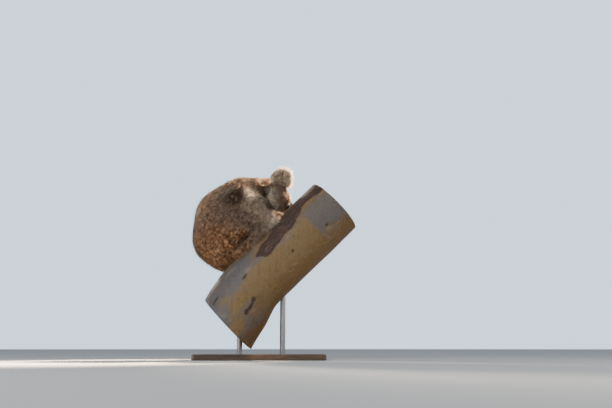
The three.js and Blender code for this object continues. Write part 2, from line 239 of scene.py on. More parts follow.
class Paint(Nodes):
    """A material of a given name, with the patterns that its finish is mixed from."""

    def __init__(self, name, **constants):
        self.material = bpy.data.materials.new(name)
        self.material.use_nodes = True
        super().__init__(self.material.node_tree)
        self.shader = self.tree.nodes["Principled BSDF"]
        self.give(**constants)

    def give(self, **inputs):
        """Sets or links the shader's sockets; their names are written with underscores."""
        for key, value in inputs.items():
            self._set(self.shader.inputs[key.replace("_", " ")], value)

    def mix(self, first, second, share, blend="MIX"):
        """A share of the second colour over the first."""
        return self.add("Mix", {"data_type": "RGBA", "blend_type": blend, "clamp_factor": True},
                        {0: share, 6: first, 7: second}, 2)

    def layers(self, colour, *layers):
        """A colour with others laid over it in order: (colour, share) pairs."""
        for over, share in layers:
            colour = self.mix(colour, over, share)
        return colour

    def lit(self, colour, light):
        """A colour, times a number."""
        return self.mix(colour, self.add("CombineXYZ", inputs={0: light, 1: light, 2: light}), 1.0,
                        "MULTIPLY")

    def noise(self, where, scale, detail=3.0, roughness=0.55, distortion=0.0):
        return self.add("TexNoise", {"noise_dimensions": "3D"},
                        {"Vector": where, "Scale": scale, "Detail": detail,
                         "Roughness": roughness, "Distortion": distortion})

    def cells(self, where, scale):
        """The distance to the nearest of many scattered points."""
        return self.add("TexVoronoi", inputs={"Vector": where, "Scale": scale})

    def here(self):
        """Object coordinates."""
        return self.add("TexCoord", output=3)

    def stretched(self, scale):
        """Object coordinates, times scale."""
        return self.add("Mapping", inputs={"Vector": self.here(), "Scale": scale})

    def placed(self, place, scale=(1, 1, 1)):
        """Object coordinates in the frame of place, in metres times scale."""
        back = place.inverted()
        spun = self.add("Mapping", inputs={"Vector": self.here(), "Location": back.translation[:],
                                           "Rotation": back.to_euler("XYZ")[:]})
        return self.add("Mapping", inputs={"Vector": spun, "Scale": scale})

    def streaks(self, place, scale, detail=3.0, roughness=0.55, distortion=0.0):
        """Noise that is drawn out along an axis of place."""
        return self.noise(self.placed(place, scale), 1.0, detail, roughness, distortion)

    def parts(self, vector):
        """The three numbers of a vector or a colour."""
        first = self.add("SeparateXYZ", inputs={0: vector})
        return [Value(self, out) for out in first.socket.node.outputs]

    def read(self, attribute, output=0):
        return self.add("Attribute", {"attribute_name": attribute}, output=output)

    def relief(self, height, distance, strength=1.0):
        self.give(Normal=self.add("Bump", inputs={"Strength": strength, "Distance": distance,
                                                  "Height": height}))


# ---- mesh helpers -------------------------------------------------------------------------------


def shown(name, mesh, paint, slot, *nodes):
    """Adds a finished piece: it rides on the body and stands for its nodes; slot is not used."""
    piece = bpy.data.objects.new(name, mesh)
    bpy.context.scene.collection.objects.link(piece)
    mesh.materials.clear()
    mesh.materials.append(paint)
    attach(piece, "root")
    if nodes:
        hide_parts(*nodes)


def closed(bm, name):
    """The mesh of a bmesh, which is freed."""
    mesh = bpy.data.meshes.new(name)
    bm.to_mesh(mesh)
    bm.free()
    return mesh


def from_bmesh(bm, name, shade=True):
    """The mesh of a bmesh, with its faces turned outwards and shaded smooth or flat."""
    bmesh.ops.recalc_face_normals(bm, faces=bm.faces)
    for face in bm.faces:
        face.smooth = shade
    return closed(bm, name)


def of_triangles(name, points, corners):
    """A mesh of triangles, from its points and the point at each corner in turn."""
    mesh = bpy.data.meshes.new(name)
    mesh.vertices.add(len(points))
    put_points(mesh, points)
    mesh.loops.add(len(corners))
    mesh.loops.foreach_set("vertex_index", corners.astype(np.int32))
    mesh.polygons.add(len(corners) // 3)
    mesh.polygons.foreach_set("loop_start", np.arange(0, len(corners), 3, dtype=np.int32))
    mesh.update(calc_edges=True)
    return mesh


def node_copy(bm, name, grow=0.0):
    """Adds a merged copy of a node's solid, grown outwards by grow, in metres."""
    part = bmesh.new()
    part.from_mesh(NODES[name].data)
    bmesh.ops.remove_doubles(part, verts=part.verts, dist=1e-6)
    part.normal_update()
    for vertex in part.verts:
        vertex.co += vertex.normal * grow
    mesh = closed(part, name + "_copy")
    bm.from_mesh(mesh)
    bpy.data.meshes.remove(mesh)


def modified(mesh, *modifiers):
    """The mesh after each (type, settings) modifier, applied in order."""
    carrier = bpy.data.objects.new("carrier", mesh)
    bpy.context.scene.collection.objects.link(carrier)
    for kind, settings in modifiers:
        modifier = carrier.modifiers.new(kind, kind)
        for key, value in settings.items():
            setattr(modifier, key, value)
    bpy.context.view_layer.update()
    depsgraph = bpy.context.evaluated_depsgraph_get()
    result = bpy.data.meshes.new_from_object(carrier.evaluated_get(depsgraph))
    bpy.data.objects.remove(carrier)
    return result


def rows_of(items, key):
    """A vector of each of a mesh's items, as the rows of an array."""
    rows = np.empty(len(items) * 3, np.float32)
    items.foreach_get(key, rows)
    return rows.reshape(-1, 3).astype(float)


def points_of(mesh):
    return rows_of(mesh.vertices, "co")


def normals_of(mesh):
    return rows_of(mesh.vertex_normals, "vector")


def put_points(mesh, points):
    mesh.vertices.foreach_set("co", points.astype(np.float32).ravel())
    mesh.update()


def spread(mesh, values, times):
    """Values at the vertices, evened out over their neighbours."""
    edges = np.empty(len(mesh.edges) * 2, np.int32)
    mesh.edges.foreach_get("vertices", edges)
    a, b = edges.reshape(-1, 2).T
    count = len(mesh.vertices)
    ends = np.concatenate([a, b])
    others = np.concatenate([b, a])
    degree = np.maximum(np.bincount(ends, minlength=count), 1)
    values = np.asarray(values, float)
    flat = values.reshape(count, -1)
    for _ in range(times):
        mean = np.stack([np.bincount(ends, flat[others, k], count) for k in range(flat.shape[1])], 1)
        flat = 0.5 * flat + 0.5 * mean / degree[:, None]
    return flat.reshape(values.shape)


def store(mesh, name, kind, values):
    """Keeps values at the vertices as an attribute, which materials read."""
    layer = mesh.attributes.new(name, kind, "POINT")
    field = {"FLOAT_VECTOR": "vector", "FLOAT_COLOR": "color"}[kind]
    layer.data.foreach_set(field, np.asarray(values, np.float32).ravel())


# ---- settings -----------------------------------------------------------------------------------


def length(name, description, default):
    return FloatProperty(name=name, description=description, default=default * MM, unit="LENGTH",
                         min=0.0, precision=4)


def colour(name, description, default):
    return FloatVectorProperty(name=name, description=description, default=default,
                               subtype="COLOR", size=3, min=0.0, max=1.0)


class CoatSettings(bpy.types.PropertyGroup):
    grey: colour("Grey", "Grey-brown of most of the coat", (0.34, 0.255, 0.20))
    # Along the top of the back this red-brown is partly painted sunlight, and low on the rump it is painted
    # light reflected from the bark.
    warm: colour("Warm brown", "Red-brown along the spine and low on the rump", (0.43, 0.205, 0.085))
    # In the neck's crease, under the chin, in the leg's fold and on the temple, muzzle side and nape this
    # colour is painted shade.
    dark: colour("Dark", "Brown-black of the saddle and the crease of the neck", (0.055, 0.03, 0.022))
    # On the shoulder and along the top of the back this cream is a painted sunlit highlight.
    pale: colour("Pale", "Cream of the throat, the chest and the ear fringes", (0.86, 0.74, 0.58))
    under: colour("Undercoat", "Soft dark wool at the roots", (0.07, 0.045, 0.032))
    body_tufts: IntProperty(name="Body tufts", description="Tufts on the back, flanks and rump",
                            default=160000, min=1000)
    head_tufts: IntProperty(name="Head tufts", description="Tufts on the head", default=40000, min=500)
    ear_tufts: IntProperty(name="Ear tufts", description="Tufts on both ears", default=22000, min=500)
    paw_tufts: IntProperty(name="Paw tufts", description="Tufts on the hands and feet",
                           default=14000, min=500)
    lock: length("Lock spacing", "Distance between the points that tufts gather to", 8.0)


class FaceSettings(bpy.types.PropertyGroup):
    iris: colour("Iris", "Brown of the iris", (0.05, 0.021, 0.009))
    leather: colour("Nose leather", "Near-black of the bare nose", (0.022, 0.019, 0.018))
    horn: colour("Claw horn", "Dark horn of the claws", (0.045, 0.035, 0.028))
    lid: length("Lid thickness", "How far the lids stand out from the eyeball", 1.5)


class BarkSettings(bpy.types.PropertyGroup):
    cream: colour("Cream bark", "Fresh smooth bark", (0.21, 0.14, 0.064))
    grey: colour("Grey bark", "Older smooth bark", (0.112, 0.117, 0.132))
    # Laid on darker towards the limb's underside.
    ochre: colour("Ochre stain", "Yellow-brown stain under the limb", (0.19, 0.10, 0.03))
    old: colour("Old bark", "Purple-brown bark that is yet to be shed", (0.075, 0.046, 0.036))
    wood: colour("Sawn wood", "Sawn ends of the limb", (0.40, 0.26, 0.145))
    old_thickness: length("Old bark thickness", "How far the old bark stands out", 2.2)


class StandSettings(bpy.types.PropertyGroup):
    timber: colour("Timber", "Dark stained timber of the base", (0.075, 0.042, 0.024))
    steel: colour("Steel", "Brushed steel of the rods", (0.55, 0.55, 0.56))


class StageSettings(bpy.types.PropertyGroup):
    floor: colour("Floor", "Plain pale floor", (0.80, 0.80, 0.79))
    backdrop: colour("Backdrop", "Pale surround that is seen behind the model", (0.66, 0.84, 1.0))
    dome: FloatProperty(name="Dome light", description="Strength of the soft light from all round",
                        default=0.40, min=0.0)
    sun: FloatProperty(name="Sun lamp", description="Warm lamp from behind, upper right",
                       default=12500.0, min=0.0, unit="POWER")
    fill: FloatProperty(name="Fill lamp", description="Broad lamp from the front",
                        default=38.0, min=0.0, unit="POWER")


# Tones that go with the colours in the settings.
IRIS_FLECK, IRIS_RIM, PUPIL = (0.11, 0.05, 0.018), (0.02, 0.010, 0.006), (0.002, 0.002, 0.002)
WORN_LEATHER, PALE_HORN = (0.075, 0.055, 0.05), (0.15, 0.115, 0.085)
WEATHER_STAIN, PALE_BLOTCH = (0.10, 0.06, 0.018), (0.29, 0.25, 0.185)
BROWN_STREAK, FRECKLE, SCAR = (0.115, 0.085, 0.055), (0.22, 0.15, 0.09), (0.055, 0.032, 0.022)
OLD_PALE, OLD_CRACK, OLD_RED = (0.15, 0.115, 0.10), (0.025, 0.014, 0.010), (0.20, 0.085, 0.045)
RING, HEARTWOOD, PITH = (0.24, 0.145, 0.075), (0.20, 0.115, 0.06), (0.16, 0.09, 0.05)
SPLIT, RIM = (0.05, 0.03, 0.02), (0.14, 0.09, 0.06)
PALE_GRAIN, DARK_PORE, DULL_STEEL = (0.17, 0.095, 0.05), (0.018, 0.011, 0.008), (0.36, 0.36, 0.37)
SHEEN, DOME_COLOUR = (1.0, 0.70, 0.48), (0.80, 0.89, 1.0)


# ---- the skin -----------------------------------------------------------------------------------

SIDES = ("right", "left")
FLESH = ["trunk", "neck", "head"] + [f"{part}_{side}" for side in SIDES for part in (
    "thigh", "shin", "upper_arm", "forearm", "hand", "foot", "ear")]

# What each part of the coat is like, in mm: how deep it lies over the skin, how long and wide
# its tufts are, and how thickly they stand.
COAT = {
    "trunk": dict(depth=14, length=26, width=1.3, density=1.0),
    "neck": dict(depth=12, length=24, width=1.3, density=1.1),
    "head": dict(depth=6, length=12, width=1.1, density=2.2),
    "ear": dict(depth=3, length=12, width=0.85, density=2.5),
    "thigh": dict(depth=13, length=25, width=1.3, density=1.0),
    "shin": dict(depth=9, length=19, width=1.2, density=1.2),
    "upper_arm": dict(depth=12, length=24, width=1.3, density=1.0),
    "forearm": dict(depth=9, length=18, width=1.2, density=1.2),
    "hand": dict(depth=3, length=9, width=0.9, density=2.2),
    "foot": dict(depth=3, length=9, width=0.9, density=2.2),
}
COAT_MEASURES = ("depth", "length", "width", "density")
PARTS = list(COAT)

# Loose flesh and fur that fills in against the bark: middle and radii of each mass, in koala mm.
SOFT_PAIRS = [((338, 92, -26), (30, 28, 34)), ((250, 96, -28), (116, 30, 34)),
              ((150, 94, -28), (70, 26, 30))]
SOFT = [((372, -2, 29), (37, 44, 28)),
        *[((x, y * side, z), radii) for side in (-1, 1) for (x, y, z), radii in SOFT_PAIRS],
        ((292, -90, 20), (64, 32, 46)), ((268, 84, 28), (52, 28, 38)),
        ((374, 60, 116), (38, 34, 50))]

# The skin is made from the solids, grown a little so that they join, and then sunk under its coat.
JOIN_BY = 0.9
FLESH_VOXEL, FLESH_SMOOTHING = 3.6, 14
SKIN_VOXEL, SKIN_SMOOTHING = 3.4, 8


# An ear's half width and half height, and how far it is set down; how far its rim curls forwards,
# how deep its middle lies, and how thick it is before and behind that, in mm.
EAR_WIDE, EAR_HIGH, EAR_DROP = 41, 40, 9
EAR_CURL, EAR_HOLLOW, EAR_FRONT, EAR_BACK = 9.5, 5.5, 2.0, 6.0


def part_of(node):
    """The part of the coat that grows on a node."""
    return node.rsplit("_", 1)[0] if node.endswith(SIDES) else node


def soft_mass(bm, middle, radii):
    """An ellipsoid of loose flesh."""
    made = bmesh.ops.create_icosphere(bm, subdivisions=4, radius=MM)["verts"]
    bmesh.ops.scale(bm, verts=made, vec=radii)
    bmesh.ops.translate(bm, verts=made, vec=Vector(middle) * MM)
    bmesh.ops.transform(bm, matrix=KOALA, verts=made)


def pinna(bm, side):
    """An ear without its fringe: a thick rounded dish."""
    made = bmesh.ops.create_icosphere(bm, subdivisions=4, radius=1.0)["verts"]
    for vertex in made:
        x, y, z = vertex.co
        r = min(math.hypot(y, z), 1.0)
        curl = EAR_CURL * r * r
        x = -EAR_HOLLOW + curl + (EAR_FRONT if x > 0 else EAR_BACK) * x
        vertex.co = Vector((x, EAR_WIDE * y, EAR_HIGH * z - EAR_DROP)) * MM
    bmesh.ops.transform(bm, matrix=ear_place(side), verts=made)


def region_of(points):
    """For each point, the index in PARTS of the solid that it lies nearest to, and its side."""
    vertices, faces, owner = [], [], []
    for node in FLESH:
        mesh = NODES[node].data
        start = len(vertices)
        vertices += [v.co for v in mesh.vertices]
        for face in mesh.polygons:
            faces.append([start + i for i in face.vertices])
            owner.append(node)
    tree = BVHTree.FromPolygons(vertices, faces)
    nearest = [owner[tree.find_nearest(Vector(p))[2]] for p in points]
    parts = np.array([PARTS.index(part_of(n)) for n in nearest])
    sides = np.array([1 if n.endswith("left") else -1 if n.endswith("right") else 0 for n in nearest])
    return parts, sides


def coat_depth(mesh):
    """How deep the coat lies over each vertex of the skin, in mm."""
    points = points_of(mesh)
    parts, _ = region_of(points)
    depth = np.array([COAT[p]["depth"] for p in PARTS], float)[parts]
    head = into(HEAD, points)
    on_head = parts == PARTS.index("head")
    face = smooth(0, 45, head[:, 0])
    depth = np.where(on_head, 9.5 - 6.3 * face, depth)
    depth[parts == PARTS.index("ear")] = 0
    return spread(mesh, depth, 14)


def sculpt_face(mesh):
    """Moves the skin's vertices to make the mouth, its lips and the folds round the nose."""
    points = points_of(mesh)
    x, y, z = into(HEAD, points).T
    # the mouth: a line under the nose that turns up into the cheeks
    across = np.abs(y)
    mouth_z = -34 - 0.004 * across ** 2 + 3.0 * smooth(12, 30, across)
    move = -2.6 * bump(z, mouth_z, 3.2) * smooth(40, 60, x) * (1 - smooth(24, 33, across))
    move += 1.3 * bump(z, mouth_z + 6, 6) * smooth(45, 62, x) * (1 - smooth(18, 28, across))
    move += 1.2 * bump(z, mouth_z - 6, 6) * smooth(40, 58, x) * (1 - smooth(14, 24, across))
    # a groove from the nose to the lip
    move -= 1.2 * bump(y, 0, 2.6) * bump(z, -28, 8) * smooth(60, 72, x)
    # a fold beside the nose
    fold = np.hypot(across - 22, (z + 6) * 0.55)
    move -= 1.4 * (1 - smooth(2, 9, fold)) * smooth(50, 62, x)
    put_points(mesh, points + normals_of(mesh) * (move * MM)[:, None])


# The gap between the lids, as shares of the eyeball's radius: half its width, and its heights
# over and under the middle. Inside it the skin sinks this deep, in mm.
LID_GAP_HALF, LID_GAP_HEIGHTS, SOCKET_DEPTH = 0.86, (0.22, -0.44), 2.6


def shape_lids(mesh, lid):
    """Draws the skin round each eyeball into an upper and a lower lid, with the eye half shut."""
    head = into(HEAD, points_of(mesh))
    for side in (-1, 1):
        centre, gaze, left, over = eye_frame(side)
        away = head - centre
        reach = np.linalg.norm(away, axis=1)
        way = away / np.maximum(reach, 1e-6)[:, None]
        front = way @ gaze
        h, v = way @ left, way @ over
        # the gap between the lids: almond, wider below than above
        top, bottom = (height * (1 - (h / LID_GAP_HALF) ** 2) for height in LID_GAP_HEIGHTS)
        inside = np.minimum(np.minimum(top - v, v - bottom), (LID_GAP_HALF - np.abs(h)) * 0.8)
        open_share = smooth(-0.10, 0.06, inside) * (front > 0.2)
        shell = EYE_RADIUS + lid / MM * (1 - 0.5 * smooth(0.25, 0.9, 1 - front))
        target = shell * (1 - open_share) + (EYE_RADIUS - SOCKET_DEPTH) * open_share
        near = (1 - smooth(EYE_RADIUS + 1.0, EYE_RADIUS + 9.0, reach)) * smooth(-0.1, 0.35, front)
        # a soft fold round the lids
        crease = bump(front, 0.52, 0.14) * 1.1
        head = head + way * ((target - crease * (1 - open_share) - reach) * near)[:, None]
    put_points(mesh, from_place(HEAD, head))


def refine(mesh, middle, within, from_x=-math.inf):
    """Subdivides the faces of the head, on both sides, that lie within a distance of a point."""
    bm = bmesh.new()
    bm.from_mesh(mesh)
    x, y, z = into(HEAD, np.array([f.calc_center_median() for f in bm.faces])).T
    away = np.column_stack([x, np.abs(y), z]) - np.array(middle, float)
    wanted = (np.linalg.norm(away, axis=1) < within) & (x > from_x)
    bm.faces.ensure_lookup_table()
    edges = {e for i in np.flatnonzero(wanted) for e in bm.faces[i].edges}
    bmesh.ops.subdivide_edges(bm, edges=list(edges), cuts=1, use_grid_fill=True)
    bmesh.ops.triangulate(bm, faces=[f for f in bm.faces if len(f.verts) > 4])
    bm.normal_update()
    bm.to_mesh(mesh)
    bm.free()


def skinned_over(bm, name, voxel, smoothing):
    """One closed skin over all the solids of a bmesh, smoothed."""
    return modified(closed(bm, name), ("REMESH", {"mode": "VOXEL", "voxel_size": voxel * MM}),
                    ("SMOOTH", {"factor": 0.5, "iterations": smoothing}))


def make_skin_mesh(lid):
    """The skin under the coat: one mesh over body, head and ears, with the face worked into it."""
    bm = bmesh.new()
    for node in FLESH:
        if not node.startswith("ear"):
            node_copy(bm, node, JOIN_BY * MM)
    for middle, radii in SOFT:
        soft_mass(bm, middle, radii)
    mesh = skinned_over(bm, "flesh", FLESH_VOXEL, FLESH_SMOOTHING)
    put_points(mesh, points_of(mesh) - normals_of(mesh) * (coat_depth(mesh) * MM)[:, None])
    # the ears join the inset head, and all is skinned over once more
    bm = bmesh.new()
    bm.from_mesh(mesh)
    pinna(bm, 1)
    pinna(bm, -1)
    mesh = skinned_over(bm, "skin", SKIN_VOXEL, SKIN_SMOOTHING)
    refine(mesh, (50, 0, -8), 62, from_x=22)
    refine(mesh, EYE_AT, 19)
    sculpt_face(mesh)
    shape_lids(mesh, lid)
    return mesh


# Marks on the sides of the body, by x and z in koala mm, and on the temple, in head mm. The crease, knee and
# temple marks are painted shade and the shoulder mark is a painted sunlit highlight; the others are coat
# colour.
SADDLE = dict(centre=(270, 192), size=(84, 45), lean=(0.56, 0.83))
CREASE_SHADE = dict(centre=(385, 110), size=(22, 92), lean=(0.915, 0.405))
SHOULDER_HIGHLIGHT = dict(centre=(335, 130), size=(31, 50))
WRIST = dict(centre=(318, -44), size=(26, 32))
LOW_THIGH = dict(centre=(135, 10), size=(75, 62))
KNEE_FOLD_SHADE = dict(centre=(155, -2), size=(58, 30))
TEMPLE_SHADE = dict(centre=(24, 8), size=(46, 34))
# How much fainter the painted shade of the neck crease is on the left side, and how far along a tuft its
# middle lies.
FAINTER_ON_LEFT, TUFT_MIDDLE = 0.6, 0.45
# The gap between islands of an unwrap, as a share of the square.
ISLAND_GAP = 0.004


class Skin:
    """The skin's triangles and, at its vertices, all that the coat takes from it."""

    def __init__(self, mesh):
        self.mesh = mesh
        self.points, self.normals = points_of(mesh), normals_of(mesh)
        mesh.calc_loop_triangles()
        corners = np.empty(len(mesh.loop_triangles) * 3, np.int32)
        mesh.loop_triangles.foreach_get("vertices", corners)
        self.triangles = corners.reshape(-1, 3)
        a, b, c = (self.points[self.triangles[:, i]] for i in range(3))
        self.middles = (a + b + c) / 3
        self.areas = np.linalg.norm(np.cross(b - a, c - a), axis=1) / 2
        self.parts, self.sides = region_of(self.points)
        self.koala = into(KOALA, self.points)
        self.head = into(HEAD, self.points)
        self.is_part = {name: self.parts == i for i, name in enumerate(PARTS)}
        for measure in COAT_MEASURES:
            by_part = np.array([COAT[p][measure] for p in PARTS], float)
            setattr(self, measure, by_part[self.parts])
        self.settle_head()
        self.settle_ears()
        self.settle_hem()
        for measure in COAT_MEASURES:
            setattr(self, measure, spread(mesh, getattr(self, measure), 8))
        self.lie = self.lie_of_coat()
        # a tuft takes its marks from where it comes to lie, not from its root
        lying = self.points + self.lie * (TUFT_MIDDLE * MM * self.length)[:, None]
        self.marks = spread(mesh, self.markings(into(KOALA, lying), into(HEAD, lying)), 5)

    def settle_head(self):
        """Very short on the muzzle and round the eyes, longer on the crown, longest at the throat."""
        on = self.is_part["head"]
        x, y, z = self.head.T
        across = np.abs(y)
        face = smooth(5, 52, x)
        ruff = blob(x, z, (-2, -22), (30, 34)) * smooth(34, 52, across)
        eye = 1 - smooth(10, 22, np.linalg.norm(
            np.column_stack([x, across, z]) - np.array(EYE_AT, float), axis=1))
        self.length = np.where(on, 15 - 10.2 * face + 8 * ruff - 2.0 * eye, self.length)
        throat = smooth(-24, -44, z) * (1 - smooth(48, 66, x))
        self.length = np.where(on, np.maximum(self.length, 2.6) + 17 * throat, self.length)
        self.depth = np.where(on, 9.0 - 6.6 * face + 3.5 * ruff + 10 * throat, self.depth)
        self.depth = np.where(on, np.maximum(self.depth - 1.4 * eye, 0.9), self.depth)
        self.width = np.where(on, 1.5 - 0.75 * face - 0.1 * eye, self.width)
        self.density = np.where(on, 1.7 + 2.6 * face + 1.0 * eye, self.density)

    def settle_ears(self):
        """A long fringe round the rim, shorter fur on the back and long soft hair in the dish."""
        for side in (-1, 1):
            on = self.is_part["ear"] & (self.sides == side)
            x, y, z = into(ear_place(side), self.points).T
            rim = smooth(22, 37, np.hypot(y, z + 9))
            dish = smooth(-0.2, 0.5, self.normals @ out_of(ear_place(side), (1, 0, 0)))
            self.length = np.where(on, 14 + 17 * rim + 5 * dish, self.length)
            self.depth = np.where(on, 8 + 7 * rim + 2 * dish, self.depth)

    def settle_hem(self):
        """Longer fur where the body, arms and throat come down to the bark, to lie over the join."""
        hem = self.hem = smooth(62, 26, over_bark(self.points)) * (self.koala[:, 2] > -70)
        hem = hem * (1 - np.maximum(self.is_part["hand"], self.is_part["foot"]) * 0.5)
        self.length = self.length + 13 * hem
        self.depth = self.depth + 3 * hem

    def markings(self, on_koala, in_head):
        """Shares of pale, dark and warm, and how mottled the coat is, at places in both frames; some of
        these shares are painted shade, painted sunlit highlight and painted reflected light.
        """
        x, y, z = on_koala.T
        across = np.abs(y)
        up = self.normals @ out_of(KOALA, (0, 0, 1))
        on_side = smooth(14, 46, across)
        on_head = self.is_part["head"].astype(float)
        on_ear = self.is_part["ear"].astype(float)
        body = 1 - np.maximum(on_head, on_ear)
        # the body: x runs from the rump to the neck, and z up off the limb
        saddle = tilted_blob(x, z, **SADDLE) * on_side
        # painted shade in the crease between the shoulder and the head, on body and head alike
        crease = (tilted_blob(x, z, **CREASE_SHADE) * smooth(300, 340, x)
                  * (1 - FAINTER_ON_LEFT * smooth(20, 50, y)))
        # a painted sunlit highlight on the top of the shoulder
        shoulder_highlight = np.minimum(1.4 * blob(x, z, **SHOULDER_HIGHLIGHT), 1) * on_side
        # the top of the back, where it faces up: its pale share is a painted sunlit highlight, its warm
        # share partly coat colour and partly painted sunlight
        sunlit_ridge = smooth(40, 120, x) * np.maximum(smooth(0.5, 0.93, up),
                                                smooth(0.05, 0.5, up) * smooth(195, 240, z))
        belly = smooth(0.25, 0.75, -up) * smooth(90, 60, across) * smooth(180, 230, x)
        # low on the rump: its warm share is painted light reflected up from the bark, its mottling is coat
        # colour
        rump = 1 - smooth(60, 190, np.hypot(x - 40, (z - 60) * 0.9))
        wrist = blob(x, z, **WRIST) * on_side
        low_thigh = blob(x, z, **LOW_THIGH)
        # painted shade in the fold between the thigh and the shin
        knee_fold_shade = blob(x, z, **KNEE_FOLD_SHADE) * on_side
        front = smooth(235, 305, x) * (1 - smooth(105, 150, z))
        # painted shade under the chin, between the head and the hands on the bark
        under_chin_shade = smooth(334, 350, x) * smooth(75, 45, z) * (1 - wrist)
        # the pale share holds painted sunlit highlights on the shoulder and the top of the back, besides
        # cream coat colour
        pale = body * (1 - under_chin_shade) * np.maximum.reduce([shoulder_highlight, 0.6 * belly, wrist, 0.30 * front,
                                                           0.38 * sunlit_ridge])
        # the dark share holds painted shade under the chin, in the fold of the leg and in the neck's crease,
        # besides the dark saddle
        dark = np.maximum(body * np.maximum.reduce([0.97 * saddle, 0.8 * knee_fold_shade, 0.9 * under_chin_shade]),
                          crease * (1 - on_ear))
        # the warm share holds painted sunlight along the top of the back and painted light reflected from
        # the bark low on the rump, besides red-brown coat colour
        warm = body * np.maximum.reduce([sunlit_ridge * (1 - saddle), 0.75 * rump, 0.9 * low_thigh])
        mottle = body * np.maximum.reduce([0.50 - 0.30 * front, 0.95 * saddle, 0.8 * rump, low_thigh])
        # the head: x runs out of the face, and z up to the crown
        x, y, z = in_head.T
        across = np.abs(y)
        # a cream stripe from behind the cheek to under the chin
        stripe = (bump((x - 14) * 0.56 + (across - 51) * 0.83, 0, 25) * smooth(-24, -38, z)
                  * smooth(-104, -90, z) * smooth(-10, 8, x) * smooth(78, 60, x) * (1 - on_ear))
        # painted shade on the side of the face below the ear
        temple_shade = blob(x, z, **TEMPLE_SHADE) * smooth(20, 40, across)
        # painted shade down the side of the muzzle
        muzzle_side_shade = smooth(46, 60, x) * smooth(14, 24, across) * smooth(-46, -36, z)
        bridge = (1 - smooth(14, 26, across)) * smooth(30, 50, x) * smooth(-6, 6, z)
        # painted shade over the back of the head and the nape, darkening it where the sun lamp falls
        # strongest
        nape_shade = smooth(-10, -40, x) * (1 - stripe)
        lips = smooth(52, 66, x) * smooth(-18, -30, z)
        # the warm of the crown stops at the painted shade of the neck crease
        crown = np.maximum(smooth(26, 48, z), smooth(-18, -46, x) * (1 - crease))
        pale = np.maximum(pale, stripe)
        # on the head the dark share holds painted shade on the temple, the side of the muzzle and the nape,
        # besides the darker bridge and lips
        dark = np.maximum(dark * (1 - stripe), on_head * np.maximum.reduce([
            0.36 * temple_shade, 0.45 * muzzle_side_shade, 0.30 * bridge, 0.75 * nape_shade, 0.45 * lips]))
        warm = np.maximum(warm, on_head * 0.9 * crown)
        mottle = np.maximum(mottle, 0.45 * on_head)
        for side in (-1, 1):
            dish = smooth(0.0, 0.6, self.normals @ out_of(ear_place(side), (1, 0, 0)))
            _, ear_y, ear_z = into(ear_place(side), self.points).T
            rim = smooth(27, 40, np.hypot(ear_y, ear_z + 9))
            on = on_ear * (self.sides == side)
            pale = np.maximum(pale, on * np.maximum(0.7 * dish, rim))
            dark = np.maximum(dark, on * 0.22 * (1 - rim))
            mottle = np.maximum(mottle, on * (1 - 0.4 * rim))
        mottle = np.maximum(mottle, 0.25)
        return np.column_stack([pale, dark, warm, mottle])

    def lie_of_coat(self):
        """The way that the hair points at each vertex, before it is laid on the surface."""
        count = len(self.points)
        way = np.tile(out_of(KOALA, (-0.80, 0, -0.42)), (count, 1))
        way += out_of(KOALA, (0, 0.22, 0)) * np.sign(self.koala[:, 1])[:, None]
        way[self.is_part["forearm"]] = out_of(KOALA, (0.15, 0, -1))
        way[self.is_part["shin"]] = out_of(KOALA, (-0.75, 0, -0.6))
        way[self.is_part["hand"] | self.is_part["foot"]] = out_of(KOALA, (0.9, 0, -0.45))
        on_head = self.is_part["head"]
        from_nose = unit(self.head - np.array(NOSE_TIP, float)) + np.array([-0.45, 0, -0.10])
        way[on_head] = out_of(HEAD, from_nose)[on_head]
        for side in (-1, 1):
            on = self.is_part["ear"] & (self.sides == side)
            base = np.array([-12.0, 46.0 * side, 36.0])
            way[on] = out_of(HEAD, unit(self.head - base))[on]
        way = unit(way)
        x, y, z = into(PERCH, self.points).T
        outwards = out_of(PERCH, unit(np.column_stack([0 * x, y, z - limb_section(x)[1]])))
        way -= 1.1 * self.hem[:, None] * outwards
        return unit(spread(self.mesh, unit(way), 10))

    def at(self, values, roots, shares):
        """Values inside triangles, from those at their corners and the share of each corner."""
        picked = values[self.triangles[roots]]
        shares = shares if picked.ndim == 2 else shares[..., None]
        return (picked * shares).sum(1)

    def triangles_by_part(self):
        """For each part of the coat, whether each triangle belongs to it."""
        part = self.parts[self.triangles[:, 0]]
        return {name: part == i for i, name in enumerate(PARTS)}

    def scatter(self, weight, count, rng):
        """Evenly spread roots: a triangle for each, and its share of the three corners."""
        total = np.cumsum(self.areas * weight)
        places = (np.arange(count) + rng.random(count)) / count * total[-1]
        roots = np.minimum(np.searchsorted(total, places), len(total) - 1)
        r, s = np.sqrt(rng.random(count)), rng.random(count)
        return roots, np.column_stack([1 - r, r * (1 - s), r * s])

    def unwrapped(self, chosen):
        """An unwrap of the chosen triangles' own shape: (triangle, corner, uv), filling the square."""
        used, corners = np.unique(self.triangles[chosen], return_inverse=True)
        mesh = of_triangles("unwrap", self.points[used], corners.ravel())
        mesh.uv_layers.new(name="unwrap")
        carrier = bpy.data.objects.new("unwrap", mesh)
        bpy.context.scene.collection.objects.link(carrier)
        for other in bpy.context.selected_objects:
            other.select_set(False)
        bpy.context.view_layer.objects.active = carrier
        carrier.select_set(True)
        bpy.ops.object.mode_set(mode="EDIT")
        bpy.ops.mesh.select_all(action="SELECT")
        bpy.ops.uv.smart_project(angle_limit=math.radians(70), island_margin=ISLAND_GAP)
        bpy.ops.object.mode_set(mode="OBJECT")
        uv = np.empty(6 * len(chosen), np.float32)
        mesh.uv_layers[0].data.foreach_get("uv", uv)
        bpy.data.objects.remove(carrier)
        bpy.data.meshes.remove(mesh)
        return uv.reshape(-1, 3, 2)


def over_bark(points):
    """How far points lie above the limb's bark, in mm."""
    x, y, z = into(PERCH, points).T
    radius, middle = limb_section(x)
    return np.hypot(y, z - middle) - radius


